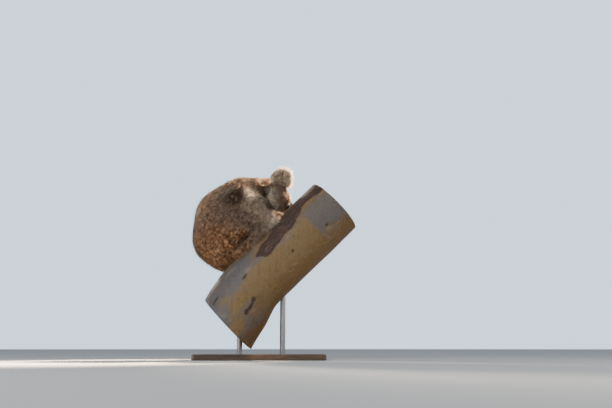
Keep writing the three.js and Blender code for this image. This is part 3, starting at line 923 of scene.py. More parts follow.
def clear_of_bark(points, by):
    """Points that would be inside the limb, moved out to lie on its bark."""
    x, y, z = into(PERCH, points).T
    radius, middle = limb_section(x)
    reach = np.hypot(y, z - middle)
    out = np.where(reach < radius + by, (radius + by) / np.maximum(reach, 1), 1)
    inside_ends = (x > LIMB_ENDS[0]) & (x < LIMB_ENDS[1])
    out = np.where(inside_ends, out, 1)
    return from_place(PERCH, np.column_stack([x, y * out, middle + (z - middle) * out]))


# A tuft: its root, three points round its thickest place, and its tip.
TUFT_FACES = [(0, 1, 2), (0, 2, 3), (0, 3, 1), (4, 2, 1), (4, 3, 2), (4, 1, 3)]
TUFT_ALONG = [0, 0.5, 0.5, 0.5, 1.0]
TUFT_UV = [(0, -1), (-1, 0), (0, 0), (1, 0), (0, 1)]
TUFT_POINTS = len(TUFT_ALONG)
# How deep a tuft is rooted, and how far its middle and its tip stay off the bark, in mm.
ROOT_SINK, MIDDLE_OFF_BARK, TIP_OFF_BARK = 1.5, 0.8, 1.2
# A tuft's patch of the bake, as a share of the square.
PATCH = 0.003
# The share of tufts that stray from their lock, and how far tufts and locks turn, in radians.
STRAY_SHARE, TURN_SPREAD = 0.16, 0.30
# Locks stand closer where tufts are narrower than this, in mm, and a piece has some at least.
FULL_WIDTH, FEWEST_LOCKS = 1.5, 8


def tuft_mesh(name, skin, chosen, count, lock, rng):
    """Solid tufts rooted on the chosen triangles, drawn together into locks about seed points."""
    weight = np.zeros(len(skin.triangles))
    weight[chosen] = skin.density[skin.triangles[chosen]].mean(1) * skin.shown[chosen]
    roots, shares = skin.scatter(weight, count, rng)
    area = skin.areas[chosen].sum()
    fine = np.average(skin.width[skin.triangles[chosen]].mean(1))
    spacing = lock * min(1.0, fine / FULL_WIDTH)
    seeds, seed_shares = skin.scatter(weight, max(int(area / spacing ** 2), FEWEST_LOCKS), rng)
    root = skin.at(skin.points, roots, shares)
    seed_root = skin.at(skin.points, seeds, seed_shares)
    tree = KDTree(len(seeds))
    for i, point in enumerate(seed_root):
        tree.insert(point, i)
    tree.balance()
    home = np.array([tree.find(point)[1] for point in root + rng.normal(0, spacing * 0.12, root.shape)])

    def growth(triangles, corner_shares, angle, long, high):
        """Where a tuft goes from its root: its way along the skin, its normal, reach and rise."""
        normal = unit(skin.at(skin.normals, triangles, corner_shares))
        way = skin.at(skin.lie, triangles, corner_shares)
        way = unit(way - normal * (way * normal).sum(1, keepdims=True))
        across = np.cross(normal, way)
        way = way * np.cos(angle)[:, None] + across * np.sin(angle)[:, None]
        rise = skin.at(skin.depth, triangles, corner_shares) * high * MM
        whole = skin.at(skin.length, triangles, corner_shares) * long * MM
        reach = np.sqrt(np.maximum(whole ** 2 - rise ** 2, (0.45 * whole) ** 2))
        return normal, way, rise, reach

    seed_angle = rng.normal(0, TURN_SPREAD, len(seeds))
    seed_long = rng.uniform(0.80, 1.12, len(seeds))
    seed_high = rng.uniform(0.66, 1.08, len(seeds))
    normal, way, rise, reach = growth(seeds, seed_shares, seed_angle, seed_long, seed_high)
    lock_tip = seed_root + way * reach[:, None] + normal * rise[:, None]
    stray = rng.random(count) < STRAY_SHARE
    angle = seed_angle[home] + rng.normal(0, TURN_SPREAD, count) * (1 + 1.2 * stray)
    long = seed_long[home] * rng.uniform(0.70, 1.12, count)
    high = seed_high[home] * rng.uniform(0.70, 1.14, count) * (1 + 0.42 * stray)
    normal, way, rise, reach = growth(roots, shares, angle, long, high)
    pull = (rng.uniform(0.05, 0.62, count) * (1 - 0.9 * stray))[:, None]
    tip = root + way * reach[:, None] + normal * rise[:, None]
    tip = tip * (1 - pull) + lock_tip[home] * pull
    bend = root + way * (reach * 0.40)[:, None] + normal * (rise * 0.78)[:, None]
    bend = bend * (1 - 0.35 * pull) + (root * 0.5 + lock_tip[home] * 0.5) * 0.35 * pull
    bend, tip = clear_of_bark(bend, MIDDLE_OFF_BARK), clear_of_bark(tip, TIP_OFF_BARK)
    width = skin.at(skin.width, roots, shares) * rng.uniform(0.75, 1.2, count) * (1 - 0.35 * stray)
    half = width * MM / 2
    side = unit(np.cross(tip - root, normal)) * half[:, None]
    points = np.stack([root - normal * ROOT_SINK * MM, bend + side,
                       bend + normal * (half * 0.6)[:, None], bend - side, tip], 1)

    corners = np.array(TUFT_FACES).ravel()
    mesh = of_triangles(name, points.reshape(-1, 3),
                        (np.arange(count)[:, None] * TUFT_POINTS + corners).ravel())
    mesh.shade_smooth()

    tone = np.repeat(rng.normal(0, 1, count), TUFT_POINTS)
    lock_tone = np.repeat(rng.normal(0, 1, len(seeds))[home], TUFT_POINTS)
    store(mesh, "lock", "FLOAT_VECTOR", np.column_stack([np.tile(TUFT_ALONG, count), tone, lock_tone]))
    marks = skin.at(skin.marks, roots, shares)
    store(mesh, "marks", "FLOAT_COLOR", np.repeat(marks, TUFT_POINTS, axis=0))

    # in the bake, a tuft takes a small patch at its root's place in an unwrap of the skin
    uv = skin.unwrapped(chosen)
    position = np.full(len(skin.triangles), -1)
    position[chosen] = np.arange(len(chosen))
    centre = np.clip((uv[position[roots]] * shares[..., None]).sum(1), PATCH, 1 - PATCH)
    spots = centre[:, None] + np.array(TUFT_UV)[None] * PATCH / 2
    layer = mesh.uv_layers.new(name="OFBake")
    layer.data.foreach_set("uv", spots[:, corners].astype(np.float32).ravel())
    return mesh


def coat_paint(name, on_skin=False):
    """Fur: markings over grey-brown, darker at the roots, each tuft and lock of its own tone."""
    coat = bpy.context.scene.koala_coat
    paint = Paint(name, Roughness=0.78, Sheen_Weight=0.25, Sheen_Roughness=0.4,
                  Sheen_Tint=SHEEN, Specular_IOR_Level=0.12)
    pale, dark, warm = paint.parts(paint.read("marks"))
    mottle = paint.read("marks", 3)
    where = paint.placed(KOALA)
    patches = paint.noise(where, 42, 3, 0.6)
    clumps = paint.noise(where, 80, 2, 0.5)
    fine = paint.noise(where, 260, 2, 0.6)
    if on_skin:
        along, tone, lock = 0.25, (fine - 0.5) * 3, (patches - 0.5) * 3
    else:
        along, tone, lock = paint.parts(paint.read("lock"))
    # the marks carry painted shade, painted sunlit highlights and painted reflected light as well as the
    # coat's own markings
    colour = paint.layers(
        coat.grey, (coat.warm, (warm + (patches - 0.5) * 1.1 * mottle).clamped()),
        (coat.dark, dark.most((0.53 - clumps).ease(0, 0.11) * mottle * 0.9)),
        (coat.pale, pale.most((clumps - 0.56).ease(0, 0.12) * mottle * 0.40)))
    colour = paint.lit(colour, 1.0 + tone * 0.20 + lock * 0.36 * (0.45 + mottle))
    if on_skin:
        colour = paint.mix(colour, coat.under, 0.55)
        paint.relief(fine, 1.2 * MM, 0.7)
    else:
        colour = paint.mix(coat.under, colour, (along * 1.35 + 0.06).clamped())
        colour = paint.mix(colour, coat.pale, (along - 0.72).most(0) * (1 - dark) * 0.6)
    paint.give(Base_Color=colour)
    return paint.material


# ---- operators ----------------------------------------------------------------------------------

# What one operator makes and a later one needs.
MADE = {}


class MakeSkin(bpy.types.Operator):
    """Makes one skin over all the flesh, with the face modelled on it"""
    bl_idname = "koala.make_skin"
    bl_label = "Skin"

    def execute(self, context):
        mesh = make_skin_mesh(context.scene.koala_face.lid)
        MADE["skin"] = skin = Skin(mesh)
        store(mesh, "marks", "FLOAT_COLOR", skin.marks)
        mesh.shade_smooth()
        shown("skin", mesh, coat_paint("skin_under_fur", True), "fur", *FLESH)
        return {"FINISHED"}


# The loin's piece of coat lies between these places along the back, in koala mm.
LOIN_FROM, LOIN_TO = 130, 245


def body_regions(skin, named):
    """The chosen triangles of each piece of the body's coat."""
    x, y, _ = into(KOALA, skin.middles).T
    trunk = named["trunk"] | named["neck"]
    split = {
        "rump": trunk & (x < LOIN_FROM), "loin": trunk & (x >= LOIN_FROM) & (x < LOIN_TO),
        "shoulders": trunk & (x >= LOIN_TO), "leg": named["thigh"] | named["shin"],
        "arm": named["upper_arm"] | named["forearm"],
    }
    return {f"coat_{name}_{side}": np.flatnonzero(mask & ((y > 0) == (side == "left")))
            for name, mask in split.items() for side in SIDES}


# Close over the bark, between these heights in mm, the coat goes out of sight and grows thinner.
OUT_OF_SIGHT, IN_SIGHT, THINNED_BY = 10, 26, 0.75


class MakeCoat(bpy.types.Operator):
    """Grows the tufts of the body, head, ears and paws"""
    bl_idname = "koala.make_coat"
    bl_label = "Coat"

    def execute(self, context):
        coat = context.scene.koala_coat
        skin = MADE["skin"]
        hidden = 1 - smooth(OUT_OF_SIGHT, IN_SIGHT, over_bark(skin.middles))
        skin.shown = 1 - THINNED_BY * hidden
        fur = coat_paint("woolly_fur")
        rng = np.random.default_rng(SEED)
        named = skin.triangles_by_part()
        regions = body_regions(skin, named)
        weight = skin.areas * skin.shown * skin.density[skin.triangles].mean(1)
        weights = {name: weight[chosen].sum() for name, chosen in regions.items()}
        whole = sum(weights.values())
        plan = [(name, chosen, int(coat.body_tufts * weights[name] / whole), "fur")
                for name, chosen in regions.items()]
        on_left = into(HEAD, skin.middles)[:, 1] > 0
        half_head = coat.head_tufts // 2
        for name, mask, count, slot in (
                ("coat_head_left", named["head"] & on_left, half_head, "fur"),
                ("coat_head_right", named["head"] & ~on_left, half_head, "fur"),
                ("coat_ears", named["ear"], coat.ear_tufts, "ear_fur"),
                ("coat_paws", named["hand"] | named["foot"], coat.paw_tufts, "fur")):
            plan.append((name, np.flatnonzero(mask), count, slot))
        share = 1.0
        for name, chosen, count, slot in plan:
            if count < 10 or len(chosen) == 0:
                raise RuntimeError(name + " has nowhere to grow")
            shown(name, tuft_mesh(name, skin, chosen, int(count * share), coat.lock, rng), fur, slot)
        return {"FINISHED"}


# The eyeball's size as a share of its solid's, and how far its cornea stands out, as a share of it.
EYEBALL_SHARE, CORNEA_BULGE = 0.985, 0.07


class MakeEyes(bpy.types.Operator):
    """Makes the eyeballs, with a bulging cornea"""
    bl_idname = "koala.make_eyes"
    bl_label = "Eyes"

    def execute(self, context):
        paint = Paint("wet_eye", Roughness=0.06, Coat_Weight=1.0, Coat_Roughness=0.03, IOR=1.4)
        where = paint.read("eye", 1)
        _, y, z = paint.parts(where)
        out = (y * y + z * z) ** 0.5
        rays = paint.noise(where, 9, 3, 0.7)
        slit = (1 - (y.size() - 0.085 * (1 - (z / 0.46) ** 2)).ease(0.0, 0.03)) * (
            1 - z.size().ease(0.42, 0.46))
        paint.give(Base_Color=paint.layers(
            context.scene.koala_face.iris, (IRIS_FLECK, (rays - 0.3) * 1.2),
            (IRIS_RIM, out.ease(0.50, 0.74)), (PUPIL, slit)))
        for side, name in ((-1, "eye_right"), (1, "eye_left")):
            bm = bmesh.new()
            bmesh.ops.create_uvsphere(bm, u_segments=40, v_segments=28, radius=1.0)
            bmesh.ops.rotate(bm, verts=bm.verts, matrix=turned("Y", 90))
            centre, gaze, left, over = eye_frame(side)
            local = []
            for vertex in bm.verts:
                local.append(vertex.co[:])
                vertex.co *= 1 + CORNEA_BULGE * float(smooth(0.80, 0.97, vertex.co.x))
            place = Matrix(np.column_stack([gaze, left, over]).tolist()).to_4x4()
            place.translation = Vector(centre * MM)
            bmesh.ops.scale(bm, verts=bm.verts, vec=(EYEBALL_SHARE * EYE_RADIUS * MM,) * 3)
            bmesh.ops.transform(bm, matrix=HEAD @ place, verts=bm.verts)
            mesh = from_bmesh(bm, name + "_ball")
            store(mesh, "eye", "FLOAT_VECTOR", np.array(local))
            shown(name + "_ball", mesh, paint.material, "eye", name)
        return {"FINISHED"}


NOSE_GROWN, NOSE_VOXEL, NOSE_SMOOTHING = 0.5, 0.9, 30


class MakeNose(bpy.types.Operator):
    """Makes the nose leather, with its nostrils"""
    bl_idname = "koala.make_nose"
    bl_label = "Nose"

    def execute(self, context):
        bm = bmesh.new()
        node_copy(bm, "nose", NOSE_GROWN * MM)
        mesh = skinned_over(bm, "nose_leather", NOSE_VOXEL, NOSE_SMOOTHING)
        points = points_of(mesh)
        x, y, z = into(HEAD, points).T
        across = np.abs(y)
        front = smooth(84, 89, x)
        # the nostrils: slanting slits with a raised rim, and a groove between them
        slit = np.hypot((across - 10.5 - 0.35 * (z + 13)) / 2.6, (z + 14) / 6.0)
        move = -4.6 * (1 - smooth(0.35, 1.15, slit)) * front
        move += 0.8 * bump(slit, 1.55, 0.6) * front
        move -= 0.9 * bump(y, 0, 2.4) * (1 - smooth(-4, 6, z)) * front
        put_points(mesh, points + normals_of(mesh) * (move * MM)[:, None])
        mesh.shade_smooth()
        paint = Paint("nose_leather", Specular_IOR_Level=0.2)
        where = paint.placed(HEAD)
        pebble = paint.cells(where, 900)
        broad = paint.noise(where, 120)
        paint.give(Base_Color=paint.mix(context.scene.koala_face.leather, WORN_LEATHER,
                                        (broad - 0.4) * 1.2), Roughness=0.58 + pebble * 0.2)
        paint.relief(pebble + broad * 0.6, 0.45 * MM, 0.8)
        shown("nose_leather", mesh, paint.material, "nose", "nose")
        return {"FINISHED"}


class MakeClaws(bpy.types.Operator):
    """Makes the curved claws of the hands and feet"""
    bl_idname = "koala.make_claws"
    bl_label = "Claws"

    def execute(self, context):
        paint = Paint("claw_horn", Coat_Weight=0.25)
        grain = paint.streaks(KOALA, (60, 320, 320), 4, 0.6)
        paint.give(Base_Color=paint.mix(context.scene.koala_face.horn, PALE_HORN,
                                        grain.ease(0.45, 0.8)), Roughness=0.24 + grain * 0.2)
        paint.relief(grain, 0.3 * MM, 0.4)
        for paw in ("hand_right", "hand_left", "foot_right", "foot_left"):
            claws = sorted(n for n in NODES if n.startswith(paw + "_claw"))
            bm = bmesh.new()
            for claw in claws:
                node_copy(bm, claw, 0.3 * MM)
            mesh = modified(closed(bm, paw + "_claws"), ("SUBSURF", {"levels": 2, "render_levels": 2}))
            mesh.shade_smooth()
            shown(paw + "_claws", mesh, paint.material, "claw", *claws)
        return {"FINISHED"}


# The lower and the upper edge of the limb's old bark: places along the limb in mm, and degrees
# round it from its top towards the koala's right side. The tables end at 600 mm.
OLD_BARK_LOW = [(146, 58), (151, 64), (185, 78), (265, 75), (357, 70), (424, 60), (470, 52), (495, 51),
                (526, 55), (600, 56)]
OLD_BARK_HIGH = [(146, 60), (152, 62), (195, 53), (235, 50), (279, 43), (300, 25), (330, -10),
                 (380, -30), (600, -36)]
# Scars: place and degrees of each, and its half length in mm and half width in degrees.
SCARS = [(60, 75, 18, 3.0), (-101, 54.5, 36, 2.2), (20, 112, 17, 5.2), (-8, 114, 33, 4.0),
         (-36, 113, 17, 5.0), (332, 85, 4, 1.6), (-23, 90, 3, 1.5), (-28, 67, 3, 1.2),
         (284, 103, 9, 2.4), (470, 112, 10, 2.6)]
# Splits of the sawn ends: degrees round the limb, and how far out each runs, in mm.
END_SPLITS = [(25, 104), (-68, 72), (142, 118), (-150, 88)]


def limb_section(x):
    """The limb's radius at x, and how high its middle lies, in mm."""
    swell = SWELL_BY * smooth(-SWELL_FROM, -SWELL_TO, -x)
    return LIMB_RADIUS + swell, -SWEEP_RATE * np.maximum(SWEEP_FROM - x, 0) ** 2 - swell


def jag(x, sine):
    """How far the old bark's edge wavers from its line at x, in degrees."""
    return sine(x / 27) * 1.3 + sine(x / 11 + 1.3) * 0.7 + sine(x / 4.6 + 0.4) * 0.35


class MakeLimb(bpy.types.Operator):
    """Makes the cut length of gum limb, with its old bark, scars and sawn ends"""
    bl_idname = "koala.make_limb"
    bl_label = "Limb"

    AROUND, STATIONS = 200, 190

    def execute(self, context):
        bark = context.scene.koala_bark
        bm = bmesh.new()
        low, high = LIMB_ENDS
        ring = bmesh.ops.create_circle(bm, segments=self.AROUND, radius=1.0)["verts"]
        bmesh.ops.rotate(bm, verts=ring, matrix=turned("Y", 90))
        edges = list(bm.edges)
        rings = [ring]
        for _ in range(self.STATIONS):
            grown = bmesh.ops.extrude_edge_only(bm, edges=edges)["geom"]
            edges = [g for g in grown if isinstance(g, bmesh.types.BMEdge)]
            rings.append([g for g in grown if isinstance(g, bmesh.types.BMVert)])
        for i, ring in enumerate(rings):
            x = low + (high - low) * i / self.STATIONS
            radius, middle = limb_section(np.array(float(x)))
            bmesh.ops.scale(bm, verts=ring, vec=(1, float(radius) * MM, float(radius) * MM))
            bmesh.ops.translate(bm, verts=ring, vec=Vector((x, 0, float(middle))) * MM)
        self.roughen(bm, bark.old_thickness / MM)
        for end, outward in ((low, -1), (high, 1)):
            rim = [e for e in bm.edges if e.is_boundary and abs(e.verts[0].co.x - end * MM) < MM]
            self.saw(bm, rim, end, outward)
        bmesh.ops.transform(bm, matrix=PERCH, verts=bm.verts)
        mesh = from_bmesh(bm, "limb")
        limb_way = PERCH.to_3x3() @ Vector((1, 0, 0))
        mesh.polygons.foreach_set("use_smooth", [abs(p.normal @ limb_way) < 0.9 for p in mesh.polygons])
        shown("limb", mesh, BarkPaint(bark).material, "bark", "perch_limb")
        return {"FINISHED"}

    def roughen(self, bm, thickness):
        """Stands the old bark out, sinks the scars and gives the smooth bark its slow ripples."""
        points = np.array([v.co for v in bm.verts]) / MM
        x, y, z = points.T
        _, middle = limb_section(x)
        angle = np.degrees(np.arctan2(-y, z - middle))
        old = self.old_share(x, angle)
        move = thickness * old
        for place, turn, long, wide in SCARS:
            near = np.hypot((x - place) / long, (angle - turn) / wide)
            move += -3.0 * (1 - smooth(0.4, 1.0, near)) + 0.9 * bump(near, 1.3, 0.5)
        for i, vertex in enumerate(bm.verts):
            where = Vector((x[i] * 0.006, y[i] * 0.017, z[i] * 0.017))
            ripple = noise.noise(where) * 1.6 + noise.noise(where * 4) * 0.5
            rough = noise.noise(Vector((x[i] * 0.09, y[i] * 0.16, z[i] * 0.16))) * 0.9 * old[i]
            out = Vector((0, y[i], z[i] - middle[i])).normalized()
            vertex.co += out * (move[i] + ripple + rough - 0.6) * MM

    @staticmethod
    def old_share(x, angle):
        low = np.interp(x, *zip(*OLD_BARK_LOW)) + jag(x, np.sin)
        high = np.interp(x, *zip(*OLD_BARK_HIGH)) + jag(x * 1.3 + 40, np.sin)
        return smooth(-0.8, 0.8, low - angle) * smooth(-0.8, 0.8, angle - high) * smooth(146, 150, x)

    @staticmethod
    def saw(bm, rim, end, outward):
        """Closes an end of the limb with a sawn face: rings drawn in to its middle."""
        _, middle = limb_section(np.array(float(end)))
        centre = Vector((end + outward * 1.2, 0, float(middle))) * MM
        share = 1.0
        for wanted in (0.988, 0.90, 0.75, 0.55, 0.35, 0.15, 0.0):
            grown = bmesh.ops.extrude_edge_only(bm, edges=rim)["geom"]
            ring = [g for g in grown if isinstance(g, bmesh.types.BMVert)]
            rim = [g for g in grown if isinstance(g, bmesh.types.BMEdge)]
            for vertex in ring:
                vertex.co = centre + (vertex.co - centre) * (wanted / share)
                vertex.co.x = centre.x
            share = wanted
        bmesh.ops.pointmerge(bm, verts=ring, merge_co=centre)


class BarkPaint(Paint):
    """Bark and sawn wood, by place along the limb, degrees round it and distance from its middle."""

    def __init__(self, bark):
        super().__init__("gum_bark", Specular_IOR_Level=0.3)
        self.bark = bark
        self.where = self.placed(PERCH)
        x, y, z = (value * (1 / MM) for value in self.parts(self.where))
        swell = (SWELL_FROM - x).ease(0, SWELL_FROM - SWELL_TO) * SWELL_BY
        middle = -((SWEEP_FROM - x).most(0) ** 2) * SWEEP_RATE - swell
        self.x, self.angle = x, (-y).arctan(z - middle) * math.degrees(1)
        self.out = (y * y + (z - middle) * (z - middle)) ** 0.5
        self.drawn_out = self.streaks(PERCH, (7, 60, 60), 5, 0.6)
        self.broad = self.streaks(PERCH, (5, 11, 11), 4, 0.55, 0.4)
        self.blotch = self.streaks(PERCH, (9, 16, 16), 5, 0.6, 0.3)
        self.crust = self.streaks(PERCH, (36, 150, 150), 6, 0.72)
        self.fine = self.noise(self.where, 420, 3, 0.6)
        self.grit = self.noise(self.where, 95, 4, 0.65)
        self.finish()

    def finish(self):
        """Lays old bark, scars and sawn ends over the smooth bark, and gives all of it its relief."""
        old, crack = self.old_share(), 1 - (self.crust - 0.5).size().ease(0, 0.035)
        end, rings = self.end_share(), self.rings()
        colour = self.layers(self.smooth_bark(), (self.old_bark(crack), old),
                             (SCAR, self.scars() * 0.92), (self.sawn_wood(rings), end))
        old = old * (1 - end)
        self.give(Base_Color=colour, Roughness=0.52 + old * 0.25 + (self.fine - 0.5) * 0.2 + end * 0.2)
        saw = self.streaks(PERCH, (1, 12, 260), 2)
        self.relief(self.drawn_out * 0.35 + self.fine * 0.10 + old * (self.crust * 1.6 - crack * 0.5)
                    + end * (rings * 0.3 + saw * 0.5), 1.6 * MM, 0.55)

    def smooth_bark(self):
        """Cream below and uphill, grey towards the low end and in a patch by the high end."""
        x, angle, grit, blotch = self.x, self.angle, self.grit, self.blotch
        from_top = angle.size()
        towards_low = (150 - x).ease(-60, 260)
        top_side = (95 - from_top).ease(-25, 45)
        high_patch = ((x - 425 + (grit - 0.5) * 60).ease(-8, 8) * (angle - 66).ease(-2, 3)
                      * (150 - angle).ease(0, 25))
        grey = (towards_low * 0.55 + top_side * 0.35 + (self.broad - 0.5) * 2.4).ease(0.25, 0.75)
        # darker yellow-brown towards the limb's underside
        ochre = ((from_top - 105) / 60 + (blotch - 0.5) * 3.4).ease(0.05, 0.85)
        weather = self.noise(self.stretched((95, 95, 7)), 1.0, 4, 0.6)
        freckles = (0.16 - self.cells(self.where, 85)).ease(0, 0.06) * (grit - 0.5).ease(0, 0.12)
        colour = self.layers(
            self.bark.cream, (self.bark.grey, grey.most(high_patch * 0.8) * 0.85),
            (self.bark.ochre, ochre * 0.75), (WEATHER_STAIN, (weather - 0.52).ease(0, 0.2) * 0.45),
            (PALE_BLOTCH, (blotch - 0.56).ease(0, 0.16) * 0.5),
            (BROWN_STREAK, (self.drawn_out - 0.56).ease(0, 0.18) * 0.30), (FRECKLE, freckles * 0.7))
        return self.lit(colour, 1 + (grit - 0.5) * 0.6 + (self.fine - 0.5) * 0.4)

    def old_share(self):
        """1 on the old bark, with a ragged edge; the ramps hold the tables' degrees as 0 to 1."""
        x, angle = self.x, self.angle
        ragged = (self.fine - 0.5) * 3 + (self.grit - 0.5) * 2
        low = (x / 600).along([(place / 600, turn / 100) for place, turn in OLD_BARK_LOW]) * 100
        high = (x / 600).along([(place / 600, (turn + 40) / 110)
                                for place, turn in OLD_BARK_HIGH]) * 110 - 40
        return ((low + jag(x, Value.sine) - angle + ragged).ease(-0.6, 0.6)
                * (angle - high - jag(x * 1.3 + 40, Value.sine) + ragged).ease(-0.6, 0.6)
                * (x - 148 + ragged).ease(-2, 2))

    def old_bark(self, crack):
        return self.layers(
            self.bark.old, (OLD_PALE, (self.crust - 0.46).ease(0, 0.25)), (OLD_CRACK, crack * 0.65),
            (OLD_RED, (self.blotch - 0.56).ease(0, 0.12) * 0.6))

    def scars(self):
        marks = []
        for place, turn, long, wide in SCARS:
            near = (((self.x - place) / long) ** 2 + ((self.angle - turn) / wide) ** 2) ** 0.5
            marks.append(1 - (near + (self.grit - 0.5) * 0.7).ease(0.62, 0.95))
        return most_of(marks)

    def end_share(self):
        """1 on the sawn ends, told from the bark by the way that they face."""
        x, _, z = self.parts(self.add("VectorTransform", {"vector_type": "NORMAL"},
                                      {0: self.add("NewGeometry", output=1)}))
        lean = math.radians(LEAN)
        return (x * math.cos(lean) + z * math.sin(lean)).size().ease(0.90, 0.97)

    def rings(self):
        return ((self.out + (self.broad - 0.5) * 34 + (self.blotch - 0.5) * 14) * 1.1).sine() * 0.5 + 0.5

    def sawn_wood(self, rings):
        """Sawn wood with its rings, heartwood, pith, splits and a dark rim."""
        splits = []
        for turn, reach in END_SPLITS:
            near = (self.angle - turn).size() * self.out * 0.0175 + (self.grit - 0.5) * 4
            splits.append((1.5 - near).ease(0, 0.9) * (reach - self.out).ease(0, 14))
        heart = (95 - self.out + (self.broad - 0.5) * 30).ease(-12, 12)
        return self.layers(
            self.bark.wood, (RING, rings * 0.5), (HEARTWOOD, heart * 0.35),
            (PITH, (5 - self.out).ease(-2, 3) * 0.7), (SPLIT, most_of(splits) * 0.85),
            (RIM, (self.out - 131).ease(0, 3) * 0.8))


class MakeStand(bpy.types.Operator):
    """Finishes the timber base and the steel rods"""
    bl_idname = "koala.make_stand"
    bl_label = "Stand"

    def execute(self, context):
        stand = context.scene.koala_stand
        bm = bmesh.new()
        node_copy(bm, "stand_base")
        bmesh.ops.dissolve_limit(bm, angle_limit=math.radians(1), verts=bm.verts, edges=bm.edges)
        mesh = from_bmesh(bm, "base_board", False)
        timber = Paint("stained_timber", Coat_Weight=0.35, Coat_Roughness=0.2)
        grain = timber.noise(timber.stretched((2.2, 26, 26)), 2.4, 6, 0.62, 0.9)
        pores = timber.noise(timber.stretched((12, 420, 420)), 1.0, 3, 0.6)
        timber.give(Base_Color=timber.layers(
            stand.timber, (PALE_GRAIN, grain.ease(0.38, 0.68)),
            (DARK_PORE, (pores - 0.55).ease(0, 0.12) * 0.6)), Roughness=0.30 + grain * 0.18)
        timber.relief(pores * 0.4 + grain, 0.35 * MM, 0.35)
        shown("base_board", mesh, timber.material, "base_timber", "stand_base")
        steel = Paint("brushed_steel", Metallic=1.0)
        brush = steel.noise(steel.stretched((900, 900, 14)), 1.0, 3, 0.5)
        steel.give(Base_Color=steel.mix(stand.steel, DULL_STEEL, brush.ease(0.3, 0.8)),
                   Roughness=0.24 + brush * 0.22)
        steel.relief(brush, 0.1 * MM, 0.3)
        for name in ("stand_rod_1", "stand_rod_2"):
            mesh = NODES[name].data
            mesh.materials.clear()
            mesh.materials.append(steel.material)
            for polygon in mesh.polygons:
                polygon.use_smooth = False
        return {"FINISHED"}


CAMERA_AT, CAMERA_TILT, SENSOR_WIDTH = (0.195, -2.8, 0.050), 13, 36
# Both in pixels of the frame.
FRAME_WIDTH, FOCAL_LENGTH = 612, 624
LAMPS_AIM_AT, SPOT_ANGLE = (-0.08, 0.02, 0.68), 14
BACKDROP_GLOW = 1.8


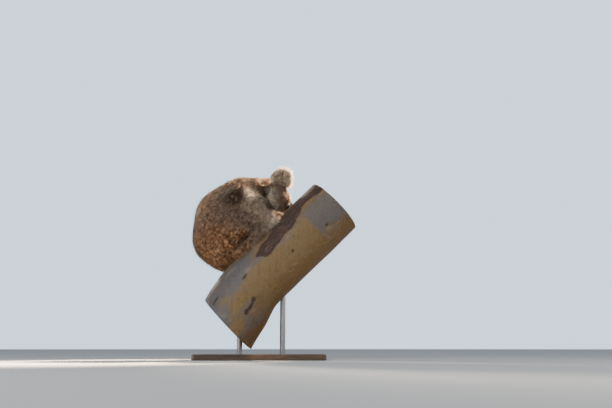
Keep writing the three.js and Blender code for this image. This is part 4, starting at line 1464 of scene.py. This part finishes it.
class MakeStage(bpy.types.Operator):
    """Sets the floor, the lamps and the camera"""
    bl_idname = "koala.make_stage"
    bl_label = "Stage"

    def execute(self, context):
        stage = context.scene.koala_stage
        bm = bmesh.new()
        bmesh.ops.create_circle(bm, cap_ends=True, segments=96, radius=30.0)
        floor = bpy.data.objects.new("floor", from_bmesh(bm, "floor", False))
        context.scene.collection.objects.link(floor)
        paint = Paint("plain_floor", Roughness=0.7)
        cloud = paint.noise(paint.here(), 3.0, 2)
        paint.give(Base_Color=paint.mix(stage.floor, [0.97 * c for c in stage.floor], cloud))
        floor.data.materials.append(paint.material)
        world = bpy.data.worlds.new("studio")
        world.use_nodes = True
        sky = Nodes(world.node_tree)
        lighting, output = (sky.tree.nodes[name] for name in ("Background", "World Output"))
        lighting.inputs["Color"].default_value = (*DOME_COLOUR, 1)
        lighting.inputs["Strength"].default_value = stage.dome
        seen = sky.add("Background", inputs={"Color": stage.backdrop, "Strength": BACKDROP_GLOW})
        either = sky.add("MixShader", inputs={0: sky.add("LightPath"),
                                              1: Value(sky, lighting.outputs[0]), 2: seen})
        sky.tree.links.new(either.socket, output.inputs["Surface"])
        context.scene.world = world
        self.lamp("sun_lamp", "SPOT", (1.35, 1.45, 2.7), 0.26, stage.sun, (1.0, 0.76, 0.52))
        self.lamp("rim_lamp", "SPOT", (-1.2, 2.3, 1.9), 0.3, 0.12 * stage.sun, (1.0, 0.88, 0.74))
        self.lamp("fill_lamp", "AREA", (-1.3, -2.6, 1.9), 2.2, stage.fill, (1.0, 0.97, 0.93))
        self.lamp("side_lamp", "AREA", (2.4, -1.4, 1.2), 1.4, 0.35 * stage.fill, (1.0, 0.95, 0.88))
        camera = bpy.data.objects.new("camera", bpy.data.cameras.new("camera"))
        context.scene.collection.objects.link(camera)
        camera.location = CAMERA_AT
        camera.rotation_euler = (math.radians(90 + CAMERA_TILT), 0, 0)
        camera.data.sensor_width = SENSOR_WIDTH
        camera.data.lens = SENSOR_WIDTH * FOCAL_LENGTH / FRAME_WIDTH
        context.scene.camera = camera
        return {"FINISHED"}

    @staticmethod
    def lamp(name, kind, place, size, power, colour):
        """A soft lamp aimed at the model; a spot lights little beyond it."""
        lamp = bpy.data.lights.new(name, kind)
        lamp.energy, lamp.color = power, colour
        if kind == "AREA":
            lamp.shape, lamp.size = "DISK", size
        else:
            lamp.spot_size, lamp.spot_blend = math.radians(SPOT_ANGLE), 0.9
            lamp.shadow_soft_size = size
        holder = bpy.data.objects.new(name, lamp)
        bpy.context.scene.collection.objects.link(holder)
        holder.location = place
        way = Vector(LAMPS_AIM_AT) - Vector(place)
        holder.rotation_euler = way.to_track_quat("-Z", "Y").to_euler()


MAKERS = (MakeStage, MakeLimb, MakeStand, MakeSkin, MakeCoat, MakeEyes, MakeNose, MakeClaws)
SETTINGS = {"koala_coat": CoatSettings, "koala_face": FaceSettings, "koala_bark": BarkSettings,
            "koala_stand": StandSettings, "koala_stage": StageSettings}


class KoalaPanel(bpy.types.Panel):
    """Lists the pieces and their settings"""
    bl_idname = "VIEW3D_PT_koala"
    bl_label = "Koala"
    bl_space_type = "VIEW_3D"
    bl_region_type = "UI"
    bl_category = "Koala"

    def draw(self, context):
        for name, group in SETTINGS.items():
            box = self.layout.box()
            for key in group.__annotations__:
                box.prop(getattr(context.scene, name), key)
        for maker in MAKERS:
            self.layout.operator(maker.bl_idname)


def register():
    for name, group in SETTINGS.items():
        bpy.utils.register_class(group)
        setattr(bpy.types.Scene, name, PointerProperty(type=group))
    for cls in (*MAKERS, KoalaPanel):
        bpy.utils.register_class(cls)


def unregister():
    for cls in (*MAKERS, KoalaPanel):
        bpy.utils.unregister_class(cls)
    for name, group in SETTINGS.items():
        delattr(bpy.types.Scene, name)
        bpy.utils.unregister_class(group)


def main():
    register()
    for maker in MAKERS:
        space, action = maker.bl_idname.split(".")
        getattr(getattr(bpy.ops, space), action)()


if __name__ == "__main__":
    main()
